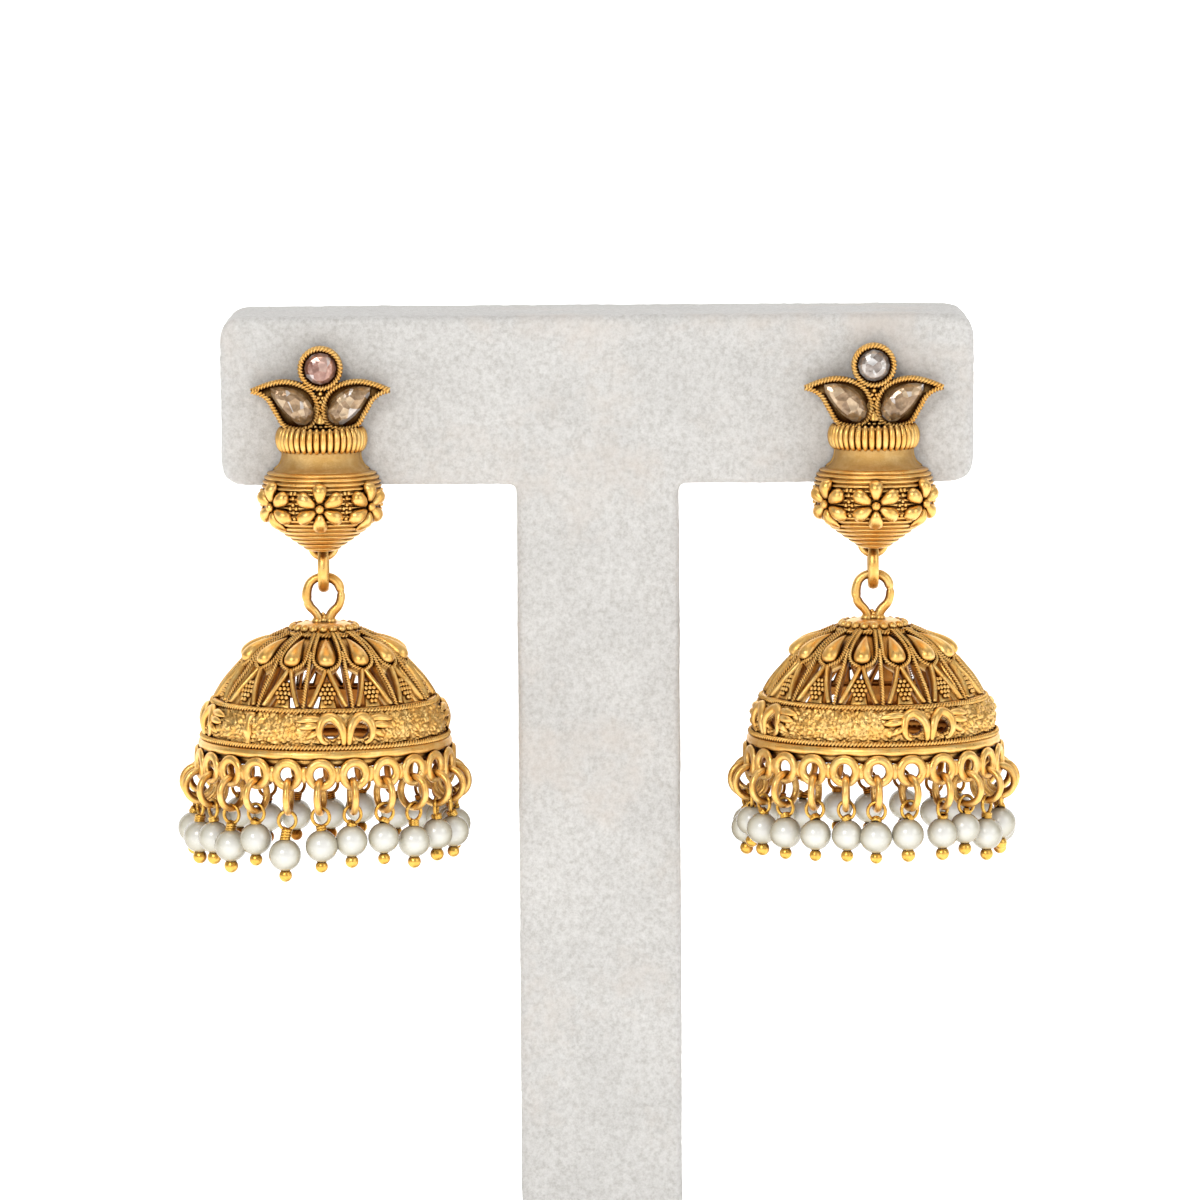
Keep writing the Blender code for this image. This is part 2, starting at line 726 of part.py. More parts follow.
def earring(side_name, centre_x, petal_turn, curl_turn, gold, crystal, pearls, tee):
    """All pieces of one earring, hung on the stand."""
    shift = Matrix.Translation((centre_x, 0.0, 0.0))
    hang = Matrix.Translation((centre_x, LOOP_Y, 0.0))
    pin = (centre_x, BACK_Y, PIN_Z)
    stud = finish_piece(move(stud_body(), shift), side_name + "_stud", gold, pin, tee)

    middle = (0.0, PIN_Z + ROUND_STONE_Z)
    stone = cut_stone("stone", round_outline(ROUND_STONE_R, ROUND_SIDES // 2), middle)
    finish_piece(move(stone, shift), side_name + "_round_stone", crystal, pin, stud)
    for leaf_side in (-1, 1):
        outer = leaf_side * centre_x > 0
        name = side_name + ("_outer_leaf_stone" if outer else "_inner_leaf_stone")
        middle = leaf_frame(leaf_side)((0.0, 0.0))
        stone = cut_stone("stone", leaf_stone_outline(leaf_side), middle)
        finish_piece(move(stone, shift), name, crystal, pin, stud)

    sideways = Matrix.Translation((0.0, 0.0, RING_Z)) @ Matrix.Rotation(math.radians(90.0), 4, "Y")
    link = ring("ring", RING_R, RING_WIRE_R, LINK_STEPS, LINK_SIDES, sideways)
    swing_axis = (centre_x, LOOP_Y, SWING_Z)
    link = finish_piece(move(link, hang), side_name + "_jump_ring", gold, swing_axis, stud)

    tilt_axis = (centre_x, LOOP_Y, TILT_Z)
    bell = move(bell_body(petal_turn, curl_turn), hang)
    bell = finish_piece(bell, side_name + "_bell", gold, tilt_axis, link)
    fringe = move(fringe_body(), hang)
    finish_piece(fringe, side_name + "_pearl_fringe", pearls, tilt_axis, bell)


def build():
    """The stand and both earrings."""
    start_scene()
    velvet = material("velvet", (0.82, 0.80, 0.76), 0.0, 0.9)
    gold = material("antique_gold", (0.78, 0.50, 0.18), 1.0, 0.35)
    crystal = material("crystal", (0.85, 0.72, 0.62), 0.0, 0.05)
    pearls = material("pearl", (0.90, 0.87, 0.80), 0.0, 0.25)
    tee = finish_piece(stand_tee(), "stand_tee", velvet, (0.0, 0.0, 0.0))
    finish_piece(stand_base(), "stand_base", velvet, (0.0, 0.0, 0.0))
    earring("left", -EARRING_X, LEFT_PETAL_TURN, LEFT_CURL_TURN, gold, crystal, pearls, tee)
    earring("right", EARRING_X, RIGHT_PETAL_TURN, RIGHT_CURL_TURN, gold, crystal, pearls, tee)


build()
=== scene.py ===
"""The looks of a pair of jhumka earrings on a velvet T-bar stand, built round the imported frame. Metres."""

import json
import math
import random

import bmesh
import bpy
import numpy as np
from mathutils import Matrix, Vector, noise


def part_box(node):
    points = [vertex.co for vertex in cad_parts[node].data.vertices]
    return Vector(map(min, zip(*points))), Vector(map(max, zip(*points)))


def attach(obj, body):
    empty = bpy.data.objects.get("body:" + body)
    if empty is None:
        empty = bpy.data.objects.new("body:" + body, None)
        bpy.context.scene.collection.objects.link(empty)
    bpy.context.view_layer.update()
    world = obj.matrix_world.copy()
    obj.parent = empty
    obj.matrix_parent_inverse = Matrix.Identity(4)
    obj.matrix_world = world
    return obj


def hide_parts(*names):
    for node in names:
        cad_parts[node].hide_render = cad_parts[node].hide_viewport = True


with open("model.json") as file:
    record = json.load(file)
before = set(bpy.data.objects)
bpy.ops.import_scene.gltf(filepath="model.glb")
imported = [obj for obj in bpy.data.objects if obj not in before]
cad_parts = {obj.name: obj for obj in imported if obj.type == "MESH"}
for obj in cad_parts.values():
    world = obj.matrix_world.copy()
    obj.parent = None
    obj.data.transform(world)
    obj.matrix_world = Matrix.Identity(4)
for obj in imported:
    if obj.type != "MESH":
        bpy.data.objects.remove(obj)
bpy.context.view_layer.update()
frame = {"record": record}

MM = 0.001

# Camera: the photo is a square of 1200 px, and 10.66 px show 1 mm at the earrings
PHOTO_PX = 1200
PX_PER_MM = 10.66
CAMERA_DISTANCE = 700 * MM
CAMERA_ELEVATION = 6.0
CAMERA_ROLL = 0.35
CAMERA_CLIP = (0.05, 20.0)
SENSOR_MM = 36.0
AIM = Vector((0.14, -12.5, 87.5)) * MM

# Studio in metres: the floor's line of depth and height, its half width, and what the lights aim at
FLOOR_LINE = ((-2.2, 0.0), (0.9, 0.0), (1.15, 0.03), (1.33, 0.12), (1.43, 0.3), (1.46, 0.6), (1.46, 2.6))
FLOOR_HALF_WIDTH = 2.6
LIGHT_AIM = (0.0, 0.0, 0.09)
# Soft lights: name, place, size, power and colour
LIGHTS = (
    ("key", (-0.4, -0.95, 0.62), 0.35, 3.9, (1.0, 0.98, 0.95)),
    ("fill", (0.75, -0.55, 0.45), 0.5, 1.7, (0.97, 0.98, 1.0)),
    ("top", (0.0, 0.15, 1.1), 0.7, 3.4, (1.0, 1.0, 1.0)),
)
WORLD_LIGHT = 0.36
WHITE = (1.0, 1.0, 1.0, 1.0)

# Places that the frame gives
joint = {row["name"]: Vector(row["pos_m"]) for row in frame["record"]["behaviour"]["joints"]}
tee_low, tee_high = (Vector(corner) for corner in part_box("stand_tee"))
base_low, base_high = (Vector(corner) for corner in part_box("stand_base"))
SIDES = ("left", "right")

# Heights of the stud's pin over the swing axis, and of the cap under the tilt axis, in mm
PIN_UP = 11.45
BELL_TOP_DOWN = 3.55
BACK_FROM_LOOP = -2.4

# Half section of the pot: radius and mm over the pin. A section keeps a hair's width from its axis.
AXIS_GAP = 0.02
NECK = ((3.7, -1.0), (3.68, -1.5), (3.78, -2.0), (4.05, -2.5), (4.5, -2.88))
NECK_LIP = ((0.12, -0.02), (0.1, -0.16))
NECK_UNDER = 0.2
NECK_EDGE_R = 0.2
NECK_EDGE_OUT = 0.25
NECK_EDGE_IN = 0.1
POT = (
    (4.5, -2.9), (5.1, -3.1), (5.45, -3.6), (5.65, -4.4), (5.7, -5.3), (5.65, -6.3), (5.4, -7.2),
    (4.95, -7.9), (4.3, -8.5), (3.65, -9.0), (2.95, -9.5), (2.3, -9.95), (1.8, -10.3), (1.35, -10.6),
)
POT_TIP = 0.1
POT_ROWS = 230
HALF_SIDES = 73
FRONT_HALF = (-90.0, 90.0)
RIDGE_PITCH = 0.43
RIDGE_HALF_WIDTH = 0.165
RIDGE_HEIGHT = 0.24

# Collar in mm: its round core, and the upright ribs that bow out over it
COLLAR_R = 3.35
COLLAR_CORE = (0.62, 0.95)
RIBS = 20
RIB_LAST_TURN = 87.0
RIB_R = 3.52
RIB_BOW = (0.5, 1.12)
RIB_BOW_ANGLE = 1.25
RIB_FADE_ANGLE = 1.42
RIB_HALF_WIDTH = 0.31
RIB_STAND = 1.15

# Flowers round the pot: turns from the front, height over the pin and sizes in mm
FLOWER_TURNS = (-52.0, 0.0, 52.0)
FLOWER_UP = -6.15
FLOWER_PETALS = 6
FLOWER_REACH = (0.35, 2.4)
FLOWER_PETAL_HALF = 0.68
FLOWER_LIFT = (0.05, 0.12)
FLOWER_HEART_R = 0.4
FLOWER_HEART_LIFT = 0.36
# Granules between the flowers: their turns, and each one's place in mm aside and up
SEED_TURNS = (-78.0, -26.0, 26.0, 78.0)
SEEDS = ((0, 0.36), (0, -0.36), (-0.32, 0.0), (0.32, 0.0), (0, 0.95), (0, -0.95), (-0.2, 1.4), (0.2, 1.4))
SEED_R = 0.19
SEED_LIFT = 0.02

# Leaf bezel outline: mm to the outside, mm over the pin
LEAF = (
    (6.5, 4.62), (4.95, 5.22), (3.5, 5.48), (2.0, 5.22), (0.88, 4.5), (0.3, 3.35), (0.3, 2.3), (0.7, 1.4),
    (1.6, 0.98), (3.3, 1.3), (4.2, 2.6), (4.9, 3.8), (5.7, 4.4),
)
# Bezels in mm: plates, walls and ropes with their depths, and the round one's height over the pin
LEAF_PLATE = 1.05
ROUND_PLATE = 1.2
WEB_PLATE = 1.25
BEZEL_WALL_R = 0.22
BEZEL_WALL_TALL = 3.2
LEAF_WALL_DEPTH = 0.75
ROUND_WALL_DEPTH = 0.8
BEZEL_ROPE_R = 0.29
LEAF_ROPE = (0.64, 1.6)
ROUND_ROPE = (0.66, 1.65)
ROUND_UP = 6.7
ROUND_R = 1.9
ROUND_ROPE_INSET = 0.02
WEB = ((-2.6, 0.9), (2.6, 0.9), (1.1, 2.2), (0.35, 3.6), (0.55, 5.0), (-0.55, 5.0), (-0.35, 3.6), (-1.1, 2.2))
# Granules between the leaves: mm aside, mm over the pin, radius in mm
GRANULES = (
    (0, 4.35, 0.21), (-0.2, 3.95, 0.17), (0.2, 3.95, 0.17), (0, 3.55, 0.2), (-0.16, 3.15, 0.16),
    (0.16, 3.15, 0.16), (0, 2.85, 0.15), (-0.95, 1.22, 0.21), (0.95, 1.22, 0.21), (-0.48, 1.2, 0.22),
    (0.48, 1.2, 0.22), (0, 1.18, 0.22), (-1.4, 1.15, 0.18), (1.4, 1.15, 0.18),
)
GRANULE_DEPTH = 1.62
# Cone between the leaves: its span over the pin, depth, half width and height in mm
CONE_SPAN = (1.42, 2.7)
CONE_DEPTH = 1.4
CONE_HALF_WIDTH = 0.62
CONE_HEIGHT = 0.6

# Stones in mm: the teardrop's outline to the outside and over the pin, and how high and deep the cuts are
TEARDROP = (
    (4.7, 4.9), (3.5, 5.0), (2.3, 4.72), (1.3, 3.9), (0.75, 3.05), (0.62, 2.4), (0.85, 1.8), (1.4, 1.38),
    (2.1, 1.45), (3.25, 2.3), (4.2, 3.5), (4.65, 4.3),
)
TEARDROP_SIDES = 16
TEARDROP_CUT = {"crown": 0.42, "pavilion": 0.45, "depth": 1.35, "table": 0.55}
ROUND_STONE_R = 1.5
ROUND_STONE_SIDES = 12
ROUND_CUT = {"crown": 0.5, "pavilion": 0.5, "depth": 1.4, "table": 0.5}
STONE_SHOULDER = 0.8
STONE_SHOULDER_RISE = 0.7
STONE_BACK = 0.3

# Loop behind the pot's tip, its lug and the ear post, in mm
LOOP_R = 1.15
LOOP_WIRE_R = 0.36
LUG_R = 0.42
POST_R = 0.44
POST_TIP_R = 0.2
POST_LINE = ((0, -0.5, 0), (0, 0.5, 0), (0, 10.6, 0), (0, 11.0, 0))

# Link between stud and bell in mm: its radii, its wire, and its centre's height over the tilt axis
LINK_R = 1.97
LINK_DEPTH_R = 1.62
LINK_UP = 1.27
LINK_WIRE_R = 0.34
LINK_WIRE_WIDE = 1.5

# Eye: half outline in mm aside and over the cap, from its foot to its top
EYE = (
    (0.6, -0.7), (0.52, 0.0), (0.8, 0.6), (1.38, 1.25), (1.62, 2.1), (1.52, 2.9), (1.26, 3.45), (0.7, 3.85),
    (0, 3.93),
)
EYE_WIRE_R = 0.44
EYE_STEPS = 72
# Nicks in the eye's wire: place as a share of its length, depth and width
EYE_NICKS = ((0.3, 0.26, 0.014), (0.77, 0.2, 0.012))
# Solder at the eye's foot: mm aside, mm up, radius in mm
EYE_SOLDER = (
    (-0.62, -0.3, 0.56), (0.62, -0.3, 0.56), (0.0, -0.2, 0.45), (0.05, 0.15, 0.3), (-0.1, 0.42, 0.2),
)

# Cap: section of radius and height in mm, its beads and the rope under them
CAP = (
    (AXIS_GAP, -0.25), (2.2, -0.35), (2.75, -0.55), (3.1, -0.95), (3.5, -1.4), (3.2, -1.55), (2.6, -1.2),
    (AXIS_GAP, -0.95),
)
CAP_BEADS = 20
CAP_BEAD_R = 0.44
CAP_BEAD_PLACE = (2.92, -0.78)
CAP_ROPE = (3.66, -1.32)

# Dome under the cap and band under the dome: radius and drop in mm
DOME = (
    (3.2, 0.85), (3.75, 1.2), (4.7, 1.6), (5.8, 2.15), (6.7, 2.8), (7.35, 3.5), (7.9, 4.2), (8.6, 5.0),
    (9.35, 5.9), (10.0, 6.9), (10.45, 7.8),
)
BAND = ((10.55, 7.55), (10.85, 8.0), (11.3, 8.7), (11.5, 9.4), (11.45, 10.1), (11.35, 10.7), (11.5, 11.0))

# Dome's lattice: turn of each bell in degrees, and lines of shares of the petal pitch and drops in mm
PETALS = 14
PETAL_PITCH = 360.0 / PETALS
PETAL_TURN = {"left": 3.6, "right": -10.0}
PETAL_ROPE = ((0.40, 1.15), (0.41, 1.8), (0.41, 2.5), (0.40, 3.1), (0.31, 3.65), (0.15, 4.0), (0.0, 4.2))
LEG = ((0.04, 4.15), (0.2, 5.6), (0.38, 7.3))
DIVIDER = ((0.5, 2.6), (0.5, 5.0), (0.5, 7.5))
# Lattice sizes in mm: ropes on their walls, petals with their backs, legs, and the plates under the clusters
DOME_ROPE = (0.24, 0.56)
DOME_ROPE_LIFT = 0.1
WALL_R = 0.17
WALL_TALL = 3.2
WALL_SINK = 0.5
PETAL_BACK_SINK = 0.42
PETAL_BACK_HALF = 0.14
PETAL_SPAN = (1.5, 2.4)
PETAL_HALF_WIDTH = 0.84
PETAL_LIFT = 0.05
LEG_R = 0.26
LEG_TALL = 2.2
LEG_SINK = 0.1
PLATE_SPAN = (5.0, 2.4)
PLATE_HALF_WIDTH = (0.35, 0.6)
PLATE_SINK = 0.32
PLATE_HALF = 0.16
# Granules in a cluster: mm aside, drop in mm
CLUSTER = (
    (-0.2, 5.35), (0.2, 5.35), (-0.42, 5.72), (0.0, 5.7), (0.42, 5.72), (-0.62, 6.1), (-0.22, 6.08),
    (0.22, 6.08), (0.62, 6.1), (-0.42, 6.46), (0.0, 6.46), (0.42, 6.46), (-0.2, 6.84), (0.2, 6.84),
)
CLUSTER_R = 0.22
CLUSTER_SINK = 0.03

# Band's wall in mm: grid, thickness, and the crackled relief made from cells
BAND_STEPS = 600
BAND_ROWS = 32
BAND_WALL = 0.55
BAND_INSET = (0.05, 0.1)
CELLS_PER_MM = 1.95
CELL_WARP = (1.3, 0.35)
CELL_EDGE = 2.2
CELL_HEIGHT = 0.36
SWELL = (1.7, 0.06)
BAND_FADE_ROWS = 3.0
# Solder seam on the left band
SEAM_TURN = -37.0
SEAM_SPAN = (7.9, 11.6)

# Pairs of curls on the band: turn of each bell, and lines in mm from the pair's and the band's middle
CURL_PAIRS = 4
CURL_PITCH = 360.0 / CURL_PAIRS
CURL_TURN = {"left": 12.0, "right": 25.0}
ARCH_HOLE = {"aside": 1.45, "down": 0.05, "radius": 0.85}
ARCH = (
    (0.25, -1.5), (0.28, -0.7), (0.5, 0.35), (1.35, 1.1), (2.25, 0.75), (2.55, -0.1), (2.3, -0.95),
    (1.75, -1.3),
)
ARCH_LIFT = 0.12
# Leaves of a curl's tail: start, bend, end and half width
TAILS = (
    ((2.0, 0.85), (3.1, 0.9), (4.7, 0.75), 0.42),
    ((2.4, 0.35), (3.3, 0.35), (4.5, 0.2), 0.40),
    ((2.5, -0.15), (3.1, -0.35), (3.8, -0.8), 0.34),
)
TAIL_LIFT = 0.14
CURL_STAND = 0.9

# Rim: places of radius and height in mm
RIM_ROPE = (0.28, 0.70)
RIM_ROPES = ((10.66, -7.62), (11.66, -10.92))
SHELF = ((10.3, -7.3), (10.6, -7.45), (10.6, -7.8), (10.3, -7.9))
STRIP = (
    (11.3, -11.0), (11.75, -11.15), (11.98, -11.35), (12.05, -11.65), (11.98, -11.95), (11.8, -12.02),
    (11.3, -11.9),
)
BORDER_LIP = ((11.3, -11.8), (11.62, -11.9), (11.66, -12.7), (11.3, -12.7))

# Fringe in mm: eyelets, jump rings, headpins and pearls
DROPS = 24
DROP_PITCH = 360.0 / DROPS
EYELET_OUT = 12.08
EYELET_DROP = -13.4
EYELET_R = 1.1
EYELET_WIRE_R = 0.43
EYELET_FLAT = 0.75
WEB_OUT = 12.05
WEB_R = 0.4
WEB_SHAPE = (1.3, 0.7, 1.9)
RING_OUT = 12.1
RING_DROP = EYELET_DROP - 2.05
RING_RADIUS = 1.475
RING_WIRE_R = 0.34
PEARL_BELOW_RING = 4.5
PEARL_R = 1.5
PIN_WIRE_R = 0.17
PIN_STEM_R = 0.14
PIN_LOOP = (0.82, 0.85)
PIN_LOOP_BELOW = 0.35
PIN_NECK_BELOW = 0.78
PIN_NECK_ABOVE = 1.45
PIN_TAIL_BELOW = 1.5
PIN_BALL_R = 0.62
PIN_BALL_BELOW = 0.42
WRAP_R = 0.36
WRAP_PITCH = 0.30
# How much higher than the rest the front pearls hang, in mm, by their number from the front towards +X
HANG = {
    "left": {-5: -0.35, -4: 0.0, -3: -0.5, -2: 0.35, -1: -0.95, 0: -0.1, 1: 0.28, 2: 0.44, 3: -0.14, 4: 0.16},
    "right": {
        -5: 0.8, -4: 0.5, -3: 0.4, -2: 0.5, -1: 0.55, 0: 0.45, 1: 0.6, 2: 0.5, 3: 0.75, 4: -0.1, 5: 0.5,
    },
}

# Velvet stand in mm: the bar's height and corners, half the post, the grids, and the pile's grain
BAR_HEIGHT = 16.0
BAR_CORNER = 2.0
HALF_POST = 7.65
TEE_STEP = 0.45
FOOT_STEP = 0.6
SOFTENING_ROUNDS = 7
PILE_GRAIN = 1.4
PILE_WAVE = 0.16
PILE_LIFT = 0.06

UP = (0, 0, 1)
FRONT = (0, -1, 0)
SIDEWAYS = (1, 0, 0)
BACK = (0, 1, 0)
FULL_TURN = 2 * math.pi
SPLINE_STEPS = 24
ROPE_STEPS = 8
ROPE_LOBES = 0.62
RANDOM_SEED = 7

rng = random.Random(RANDOM_SEED)
# Noise vectors follow the clock unless their seed is set
noise.seed_set(RANDOM_SEED)


def unit(rows):
    """Rows of vectors at length one."""
    return rows / np.linalg.norm(rows, axis=-1, keepdims=True)


def spline(points, count, closed=False):
    """A smooth curve through points, as evenly spaced points."""
    rows = np.array(points, float)
    if closed:
        rows = np.vstack([rows[-1], rows, rows[0], rows[1]])
    else:
        rows = np.vstack([2 * rows[0] - rows[1], rows, 2 * rows[-1] - rows[-2]])
    t = np.linspace(0, 1, SPLINE_STEPS, endpoint=False)[:, None]
    pieces = []
    for a, b, c, d in zip(rows, rows[1:], rows[2:], rows[3:]):
        square = (2 * a - 5 * b + 4 * c - d) * t**2
        cube = (3 * b - a - 3 * c + d) * t**3
        pieces.append(0.5 * (2 * b + (c - a) * t + square + cube))
    if not closed:
        pieces.append(rows[-2][None])
    return even(np.vstack(pieces), count, closed)


def even(path, count, closed=False):
    """The same path with evenly spaced points."""
    line = np.vstack([path, path[:1]]) if closed else path
    run = np.concatenate([[0], np.cumsum(np.linalg.norm(np.diff(line, axis=0), axis=1))])
    marks = np.linspace(0, run[-1], count, endpoint=not closed)
    return np.stack([np.interp(marks, run, line[:, k]) for k in range(line.shape[1])], axis=1)


def length_of(path, closed=False):
    """The length of a path."""
    line = np.vstack([path, path[:1]]) if closed else path
    return float(np.linalg.norm(np.diff(line, axis=0), axis=1).sum())


def upward(height):
    """A step straight up."""
    return np.array([0, 0, height])


class Shape:
    """Vertices and faces of one piece, in mm, gathered from many small solids."""

    def __init__(self):
        self.points = []
        self.faces = []
        self.count = 0

    def add(self, points, faces):
        """Take one solid in."""
        self.points.append(np.asarray(points, float))
        self.faces += [tuple(index + self.count for index in face) for face in faces]
        self.count += len(points)

    def shell(self, rings, closed=False):
        """A skin over rings of points, closed upon itself or by a fan at each end."""
        rows, sides = rings.shape[:2]
        faces = []
        for row in range(rows if closed else rows - 1):
            here, there = row * sides, (row + 1) % rows * sides
            for side in range(sides):
                after = (side + 1) % sides
                faces.append((here + side, here + after, there + after, there + side))
        points = rings.reshape(-1, 3)
        if not closed:
            first, last = len(points), len(points) + 1
            points = np.vstack([points, rings[0].mean(axis=0), rings[-1].mean(axis=0)])
            base = (rows - 1) * sides
            for side in range(sides):
                after = (side + 1) % sides
                faces.append((side, first, after))
                faces.append((base + side, base + after, last))
        self.add(points, faces)

    def tube(self, path, radius, reference, sides=8, closed=False, tall=1.0, turn=None, lobes=0.0):
        """A wire along a path, made taller along its reference as asked, or turned and lobed like a rope."""
        path = np.asarray(path, float)
        if closed:
            along = np.roll(path, -1, axis=0) - np.roll(path, 1, axis=0)
        else:
            along = np.gradient(path, axis=0)
        along = unit(along)
        across = unit(np.cross(along, np.broadcast_to(np.asarray(reference, float), path.shape)))
        up = np.cross(across, along)
        angle = np.arange(sides) * (FULL_TURN / sides)
        reach = 1.0 - lobes + lobes * np.abs(np.cos(angle))
        spin = angle[None, :] + (np.zeros(len(path)) if turn is None else turn)[:, None]
        size = np.broadcast_to(np.asarray(radius, float), (len(path),))[:, None] * reach[None, :]
        flat = (size * np.cos(spin))[..., None] * across[:, None, :]
        high = (size * np.sin(spin) * tall)[..., None] * up[:, None, :]
        self.shell(path[:, None, :] + flat + high, closed)

    def rope(self, path, radius, pitch, reference, closed=False):
        """A two-strand twisted rope along a path."""
        turns = max(1, round(length_of(path, closed) / pitch))
        count = turns * ROPE_STEPS + (0 if closed else 1)
        marks = even(np.asarray(path, float), count, closed)
        if np.ndim(reference) > 1:
            reference = even(np.asarray(reference, float), count, closed)
        turn = np.arange(count) * (FULL_TURN / ROPE_STEPS)
        self.tube(marks, radius, reference, 8, closed, turn=turn, lobes=ROPE_LOBES)

    def ball(self, centre, radius, segments=12, rings=8, axes=None):
        """A ball, or an egg along the given axes."""
        axes = np.eye(3) if axes is None else np.asarray(axes, float)
        centre = np.asarray(centre, float)
        tilt = np.linspace(0, math.pi, rings + 1)[1:-1]
        angle = np.arange(segments) * (FULL_TURN / segments)
        flat = [np.outer(np.sin(tilt), np.cos(angle)), np.outer(np.sin(tilt), np.sin(angle))]
        rows = np.stack(flat + [np.outer(np.cos(tilt), np.ones(segments))], axis=-1)
        points = ((rows * radius) @ axes + centre).reshape(-1, 3)
        poles = np.array([UP, (0, 0, -1)]) * radius @ axes + centre
        last = rings - 2
        top, bottom = len(points), len(points) + 1
        faces = []
        for row in range(last):
            here, there = row * segments, (row + 1) * segments
            for side in range(segments):
                after = (side + 1) % segments
                faces.append((here + side, there + side, there + after, here + after))
        for side in range(segments):
            after = (side + 1) % segments
            faces.append((top, side, after))
            faces.append((bottom, last * segments + after, last * segments + side))
        self.add(np.vstack([points, poles]), faces)

    def pod(self, path, widths, heights, across, up, sides=12, sink=0.35):
        """A smooth raised body along a path: half widths across it, heights over it, shallower below."""
        angle = np.arange(sides) * (FULL_TURN / sides)
        lift = np.where(np.sin(angle) > 0, 1.0, sink) * np.sin(angle)
        across = np.broadcast_to(np.asarray(across, float), path.shape)
        up = np.broadcast_to(np.asarray(up, float), path.shape)
        flat = (np.asarray(widths)[:, None] * np.cos(angle)[None, :])[..., None] * across[:, None, :]
        tall = (np.asarray(heights)[:, None] * lift[None, :])[..., None] * up[:, None, :]
        self.shell(path[:, None, :] + flat + tall)

    def turned(self, section, steps, first=0.0, last=360.0):
        """A closed section of (radius, height) turned about Z, angles from the front towards +X."""
        section = np.asarray(section, float)
        whole = last - first >= 360.0
        angle = np.radians(np.linspace(first, last, steps, endpoint=not whole))
        aside = np.outer(np.sin(angle), section[:, 0])
        deep = -np.outer(np.cos(angle), section[:, 0])
        high = np.tile(section[:, 1], (len(angle), 1))
        self.shell(np.stack([aside, deep, high], axis=-1), whole)

    def make(self, name, finish, body, place, slot="antique_gold", smooth=True):
        """The piece as an object at a place in metres, riding on a body."""
        mesh = bpy.data.meshes.new(name)
        points = np.vstack(self.points) * MM + np.asarray(place, float)
        mesh.from_pydata(points.tolist(), [], self.faces)
        bm = bmesh.new()
        bm.from_mesh(mesh)
        bmesh.ops.recalc_face_normals(bm, faces=bm.faces)
        bm.to_mesh(mesh)
        bm.free()
        if smooth:
            mesh.shade_smooth()
        obj = bpy.data.objects.new(name, mesh)
        bpy.context.scene.collection.objects.link(obj)
        mesh.materials.append(finish)
        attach(obj, body)
        return obj


